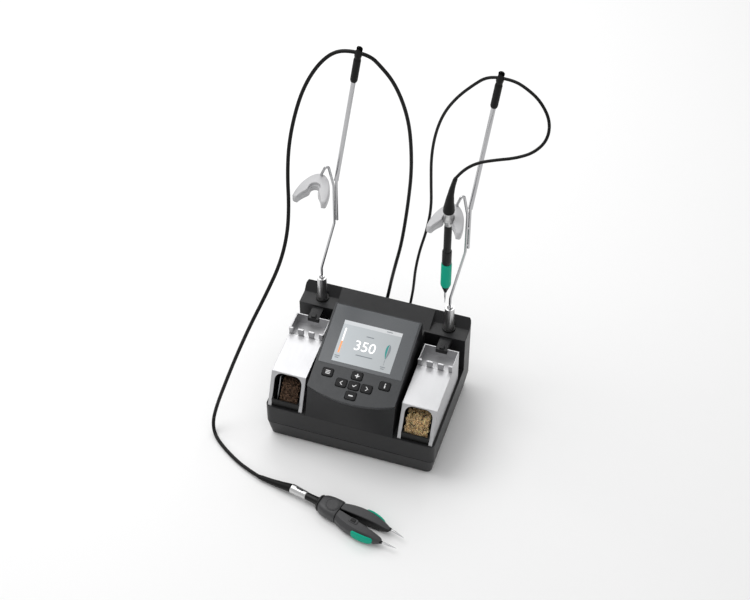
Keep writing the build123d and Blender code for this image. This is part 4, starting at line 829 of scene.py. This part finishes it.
# ---- brass wool --------------------------------------------------------------------------------
class STATION_OT_wool(bpy.types.Operator):
    """Builds the brass wool of both trays as many small curls of wire over a dark body of painted shade"""

    bl_idname = "station.wool"
    bl_label = "Brass wool"

    def execute(self, context):
        count = context.scene.station_wool.curls
        thin = context.scene.station_wool.wire / MM
        y0, y1, z0, z1 = -71.2, -24.8, 54.8, 83.8  # front, back, foot and top of the wool, mm
        for side, x0, x1, seed, kind, slot in (
                ("left", -86.2, -63.8, 3, "used brass", "wool_used"),
                ("right", 63.8, 93.2, 5, "new brass", "wool_brass")):
            rng = np.random.default_rng(seed)
            mid = np.array([(x0 + x1) / 2, (y0 + y1) / 2, (z0 + z1) / 2])
            size = np.array([(x1 - x0) / 2, (y1 - y0) / 2, (z1 - z0) / 2])
            m, n = 48, 24
            v = np.linspace(-0.5, 0.5, n) * math.pi
            c = superellipse(m, 5.0)
            flat = np.cos(v) ** 0.35
            rise = np.sign(v) * np.abs(np.sin(v)) ** 0.5
            ring = np.stack([
                flat[:, None] * c[:, 0], flat[:, None] * c[:, 1], np.repeat(rise[:, None], m, 1)], -1)
            # Painted shade: a dark body under the curls stands for the shade that falls inside the wool.
            painted_shade_body = self.under_slope(mid + ring * (size - 3.6), y0, z1, 4.2)
            place(loft(side + "_wool_painted_shade", painted_shade_body * MM, ["wool shadow"]), side + "_tray", slot)
            seg = 12
            s = np.linspace(-1, 1, seg)
            edge = np.array([
                (y0 + 1.6, z0 + 4), (y0 + 1.8, 66), (y0 + 4.6, z1 - 14.5), (y0 + 9, z1 - 7), (y0 + 15, z1 - 2.4),
                (y1 - 8, z1 - 2)])
            run = np.concatenate([[0], np.cumsum(np.linalg.norm(np.diff(edge, axis=0), axis=1))])
            at = rng.uniform(0, 1, count) ** 1.25 * run[-1]
            deep = np.abs(rng.normal(0, 1.5, count))
            slope = np.interp(at, run, [0.0, 0.15, 0.5, 0.9, 1.4, 1.57])
            centre = np.column_stack([
                rng.uniform(x0 + 1.4, x1 - 1.4, count), np.interp(at, run, edge[:, 0]) + deep * np.cos(slope),
                np.interp(at, run, edge[:, 1]) - deep * np.sin(slope)])
            axis = rng.normal(size=(count, 3))
            axis /= np.linalg.norm(axis, axis=1, keepdims=True)
            one = np.cross(axis, rng.normal(size=(count, 3)))
            one /= np.linalg.norm(one, axis=1, keepdims=True)
            two = np.cross(axis, one)
            radius = rng.uniform(0.7, 1.9, (count, 1))
            turn = rng.uniform(1.6, 4.6, (count, 1)) * s
            rise = rng.uniform(0.4, 1.6, (count, 1)) * s
            line = (centre[:, None] + radius[..., None] * (np.cos(turn)[..., None] * one[:, None]
                    + np.sin(turn)[..., None] * two[:, None]) + rise[..., None] * axis[:, None])
            line = np.clip(line, [x0 + 0.3, y0 + 0.1, z0 + 0.4], [x1 - 0.3, y1, z1 + 0.6])
            tangent = np.gradient(line, axis=1)
            tangent /= np.linalg.norm(tangent, axis=2, keepdims=True) + 1e-9
            width = axis[:, None] - (axis[:, None] * tangent).sum(-1, keepdims=True) * tangent
            width /= np.linalg.norm(width, axis=2, keepdims=True) + 1e-9
            thick = np.cross(tangent, width)
            taper = np.sqrt(1 - 0.95 * np.abs(s) ** 6)[None, :, None]
            corner = circle(3)
            rings = np.stack([
                line + taper * thin * (1.6 * a * width + 0.7 * b * thick) for a, b in corner], 2)
            quads = shell_faces(seg, 3)
            first = (np.arange(count) * seg * 3)[:, None]
            faces = (quads[None] + first[..., None]).reshape(-1, 4)
            ends = np.concatenate([first + [0, 2, 1], first + [seg * 3 - 3, seg * 3 - 2, seg * 3 - 1]]).tolist()
            curls = add_mesh(side + "_wool_curls", rings * MM, faces, [kind], ends)
            place(curls, side + "_tray", slot, side + "_brass_wool")
        return {"FINISHED"}

    def under_slope(self, p, y0, z1, margin):
        """Presses points under the slanted front: z is at most the bent line from the foot to the top."""
        top = np.interp(p[..., 1], [y0, y0 + 3, y0 + 14], [z1 - 28, z1 - 14, z1]) - margin
        p[..., 2] = np.minimum(p[..., 2], top)
        return p


# ---- carried-over pieces -----------------------------------------------------------------------
NODE_FINISHES = {
    "housing plastic": "base_tray upper_housing",
    "console plastic": "console_bezel",
    "window glass": "display_window",
    "powder coat": "rear_panel",
    "black plastic": "socket_grommets mains_inlet power_rocker left_wool_tray right_wool_tray",
    "circuit board": "key_board main_board",
    "potting": "power_transformer",
    "foot rubber": "rubber_feet",
    "satin steel": "left_stand_cover right_stand_cover cartridge_extractors left_tip_wiper",
    "bright wire": "left_mast_rod right_mast_rod left_mast_tube right_mast_tube",
    "nickel": "mast_sockets tool_sockets earth_socket case_screws",
    "cap rubber": "left_mast_cap right_mast_cap",
}


class STATION_OT_carried(bpy.types.Operator):
    """Gives the CAD pieces that keep their shape their finishes"""

    bl_idname = "station.carried"
    bl_label = "Housing, stands and masts"

    def execute(self, context):
        for kind, names in NODE_FINISHES.items():
            for name in names.split():
                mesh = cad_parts[name].data
                mesh.materials.clear()
                mesh.materials.append(FINISHES[kind])
        return {"FINISHED"}


# ---- stage -------------------------------------------------------------------------------------
def look_at(obj, target):
    """Turns a light or camera so that its -Z axis points at a target."""
    obj.rotation_euler = (Vector(target) - obj.location).to_track_quat("-Z", "Y").to_euler()


class STATION_OT_stage(bpy.types.Operator):
    """Sets the pale floor, the soft boxes and the camera"""

    bl_idname = "station.stage"
    bl_label = "Stage"

    def execute(self, context):
        stage = context.scene.station_stage
        _, shader = new_material("white paper")
        shader.inputs["Base Color"].default_value = (0.93, 0.93, 0.93, 1)
        shader.inputs["Roughness"].default_value = 0.6
        shader.inputs["Specular IOR Level"].default_value = 0.2
        low = -1e-5
        add_mesh(
            "floor", [(-6, -6, low), (6, -6, low), (6, 6, low), (-6, 6, low)], [(0, 1, 2, 3)], ["white paper"],
            smooth=False)
        world = bpy.data.worlds.new("sky")
        context.scene.world = world
        world.use_nodes = True
        sky = world.node_tree.nodes["Background"].inputs
        sky["Color"].default_value = (1, 1, 1, 1)
        sky["Strength"].default_value = stage.sky
        for name, at, size, power in (
                ("key", (-0.75, 0.1, 1.55), (1.0, 1.0), stage.key_power),
                ("back", (-0.36, 1.12, 1.3), (1.1, 0.8), 6.0)):
            data = bpy.data.lights.new(name, "AREA")
            data.shape = "RECTANGLE"
            data.size, data.size_y = size
            data.energy = power
            lamp = show(name, data)
            lamp.location = at
            look_at(lamp, (0, 0, 0.12))
        data = bpy.data.cameras.new("camera")
        data.lens = stage.lens
        data.sensor_width = 36.0
        data.clip_end = 30.0
        camera = show("camera", data)
        camera.location = (0.4208, -1.2673, 1.6475)
        camera.rotation_euler = (math.radians(90 - 47.515), 0, math.radians(18.07))
        context.scene.camera = camera
        context.scene.view_settings.view_transform = "Standard"
        return {"FINISHED"}


# ---- panel -------------------------------------------------------------------------------------
STEPS = "carried plugs handle rests tweezers keys screen wool cords stage".split()


class STATION_PT_panel(bpy.types.Panel):
    """Lists the station's settings and build steps"""

    bl_idname = "STATION_PT_panel"
    bl_label = "Soldering station"
    bl_space_type = "VIEW_3D"
    bl_region_type = "UI"
    bl_category = "Station"

    def draw(self, context):
        layout = self.layout
        for name in SETTINGS:
            settings = getattr(context.scene, name)
            box = layout.box()
            for key in settings.bl_rna.properties.keys():
                if key not in ("rna_type", "name"):
                    box.prop(settings, key)
        for step in STEPS:
            layout.operator("station." + step)


SETTINGS = {"station_cords": CordSettings, "station_wool": WoolSettings, "station_stage": StageSettings}
CLASSES = (
    *SETTINGS.values(), STATION_OT_carried, STATION_OT_plugs, STATION_OT_handle,
    STATION_OT_rests, STATION_OT_tweezers, STATION_OT_keys, STATION_OT_screen, STATION_OT_wool, STATION_OT_cords,
    STATION_OT_stage, STATION_PT_panel)


def register():
    """Registers the classes and the settings."""
    for cls in CLASSES:
        bpy.utils.register_class(cls)
    for name, cls in SETTINGS.items():
        setattr(bpy.types.Scene, name, bpy.props.PointerProperty(type=cls))


def unregister():
    """Removes the settings and the classes."""
    for name in SETTINGS:
        delattr(bpy.types.Scene, name)
    for cls in reversed(CLASSES):
        bpy.utils.unregister_class(cls)


def main():
    """Builds every piece in order."""
    register()
    build_finishes()
    for step in STEPS:
        getattr(bpy.ops.station, step)()


if __name__ == "__main__":
    main()
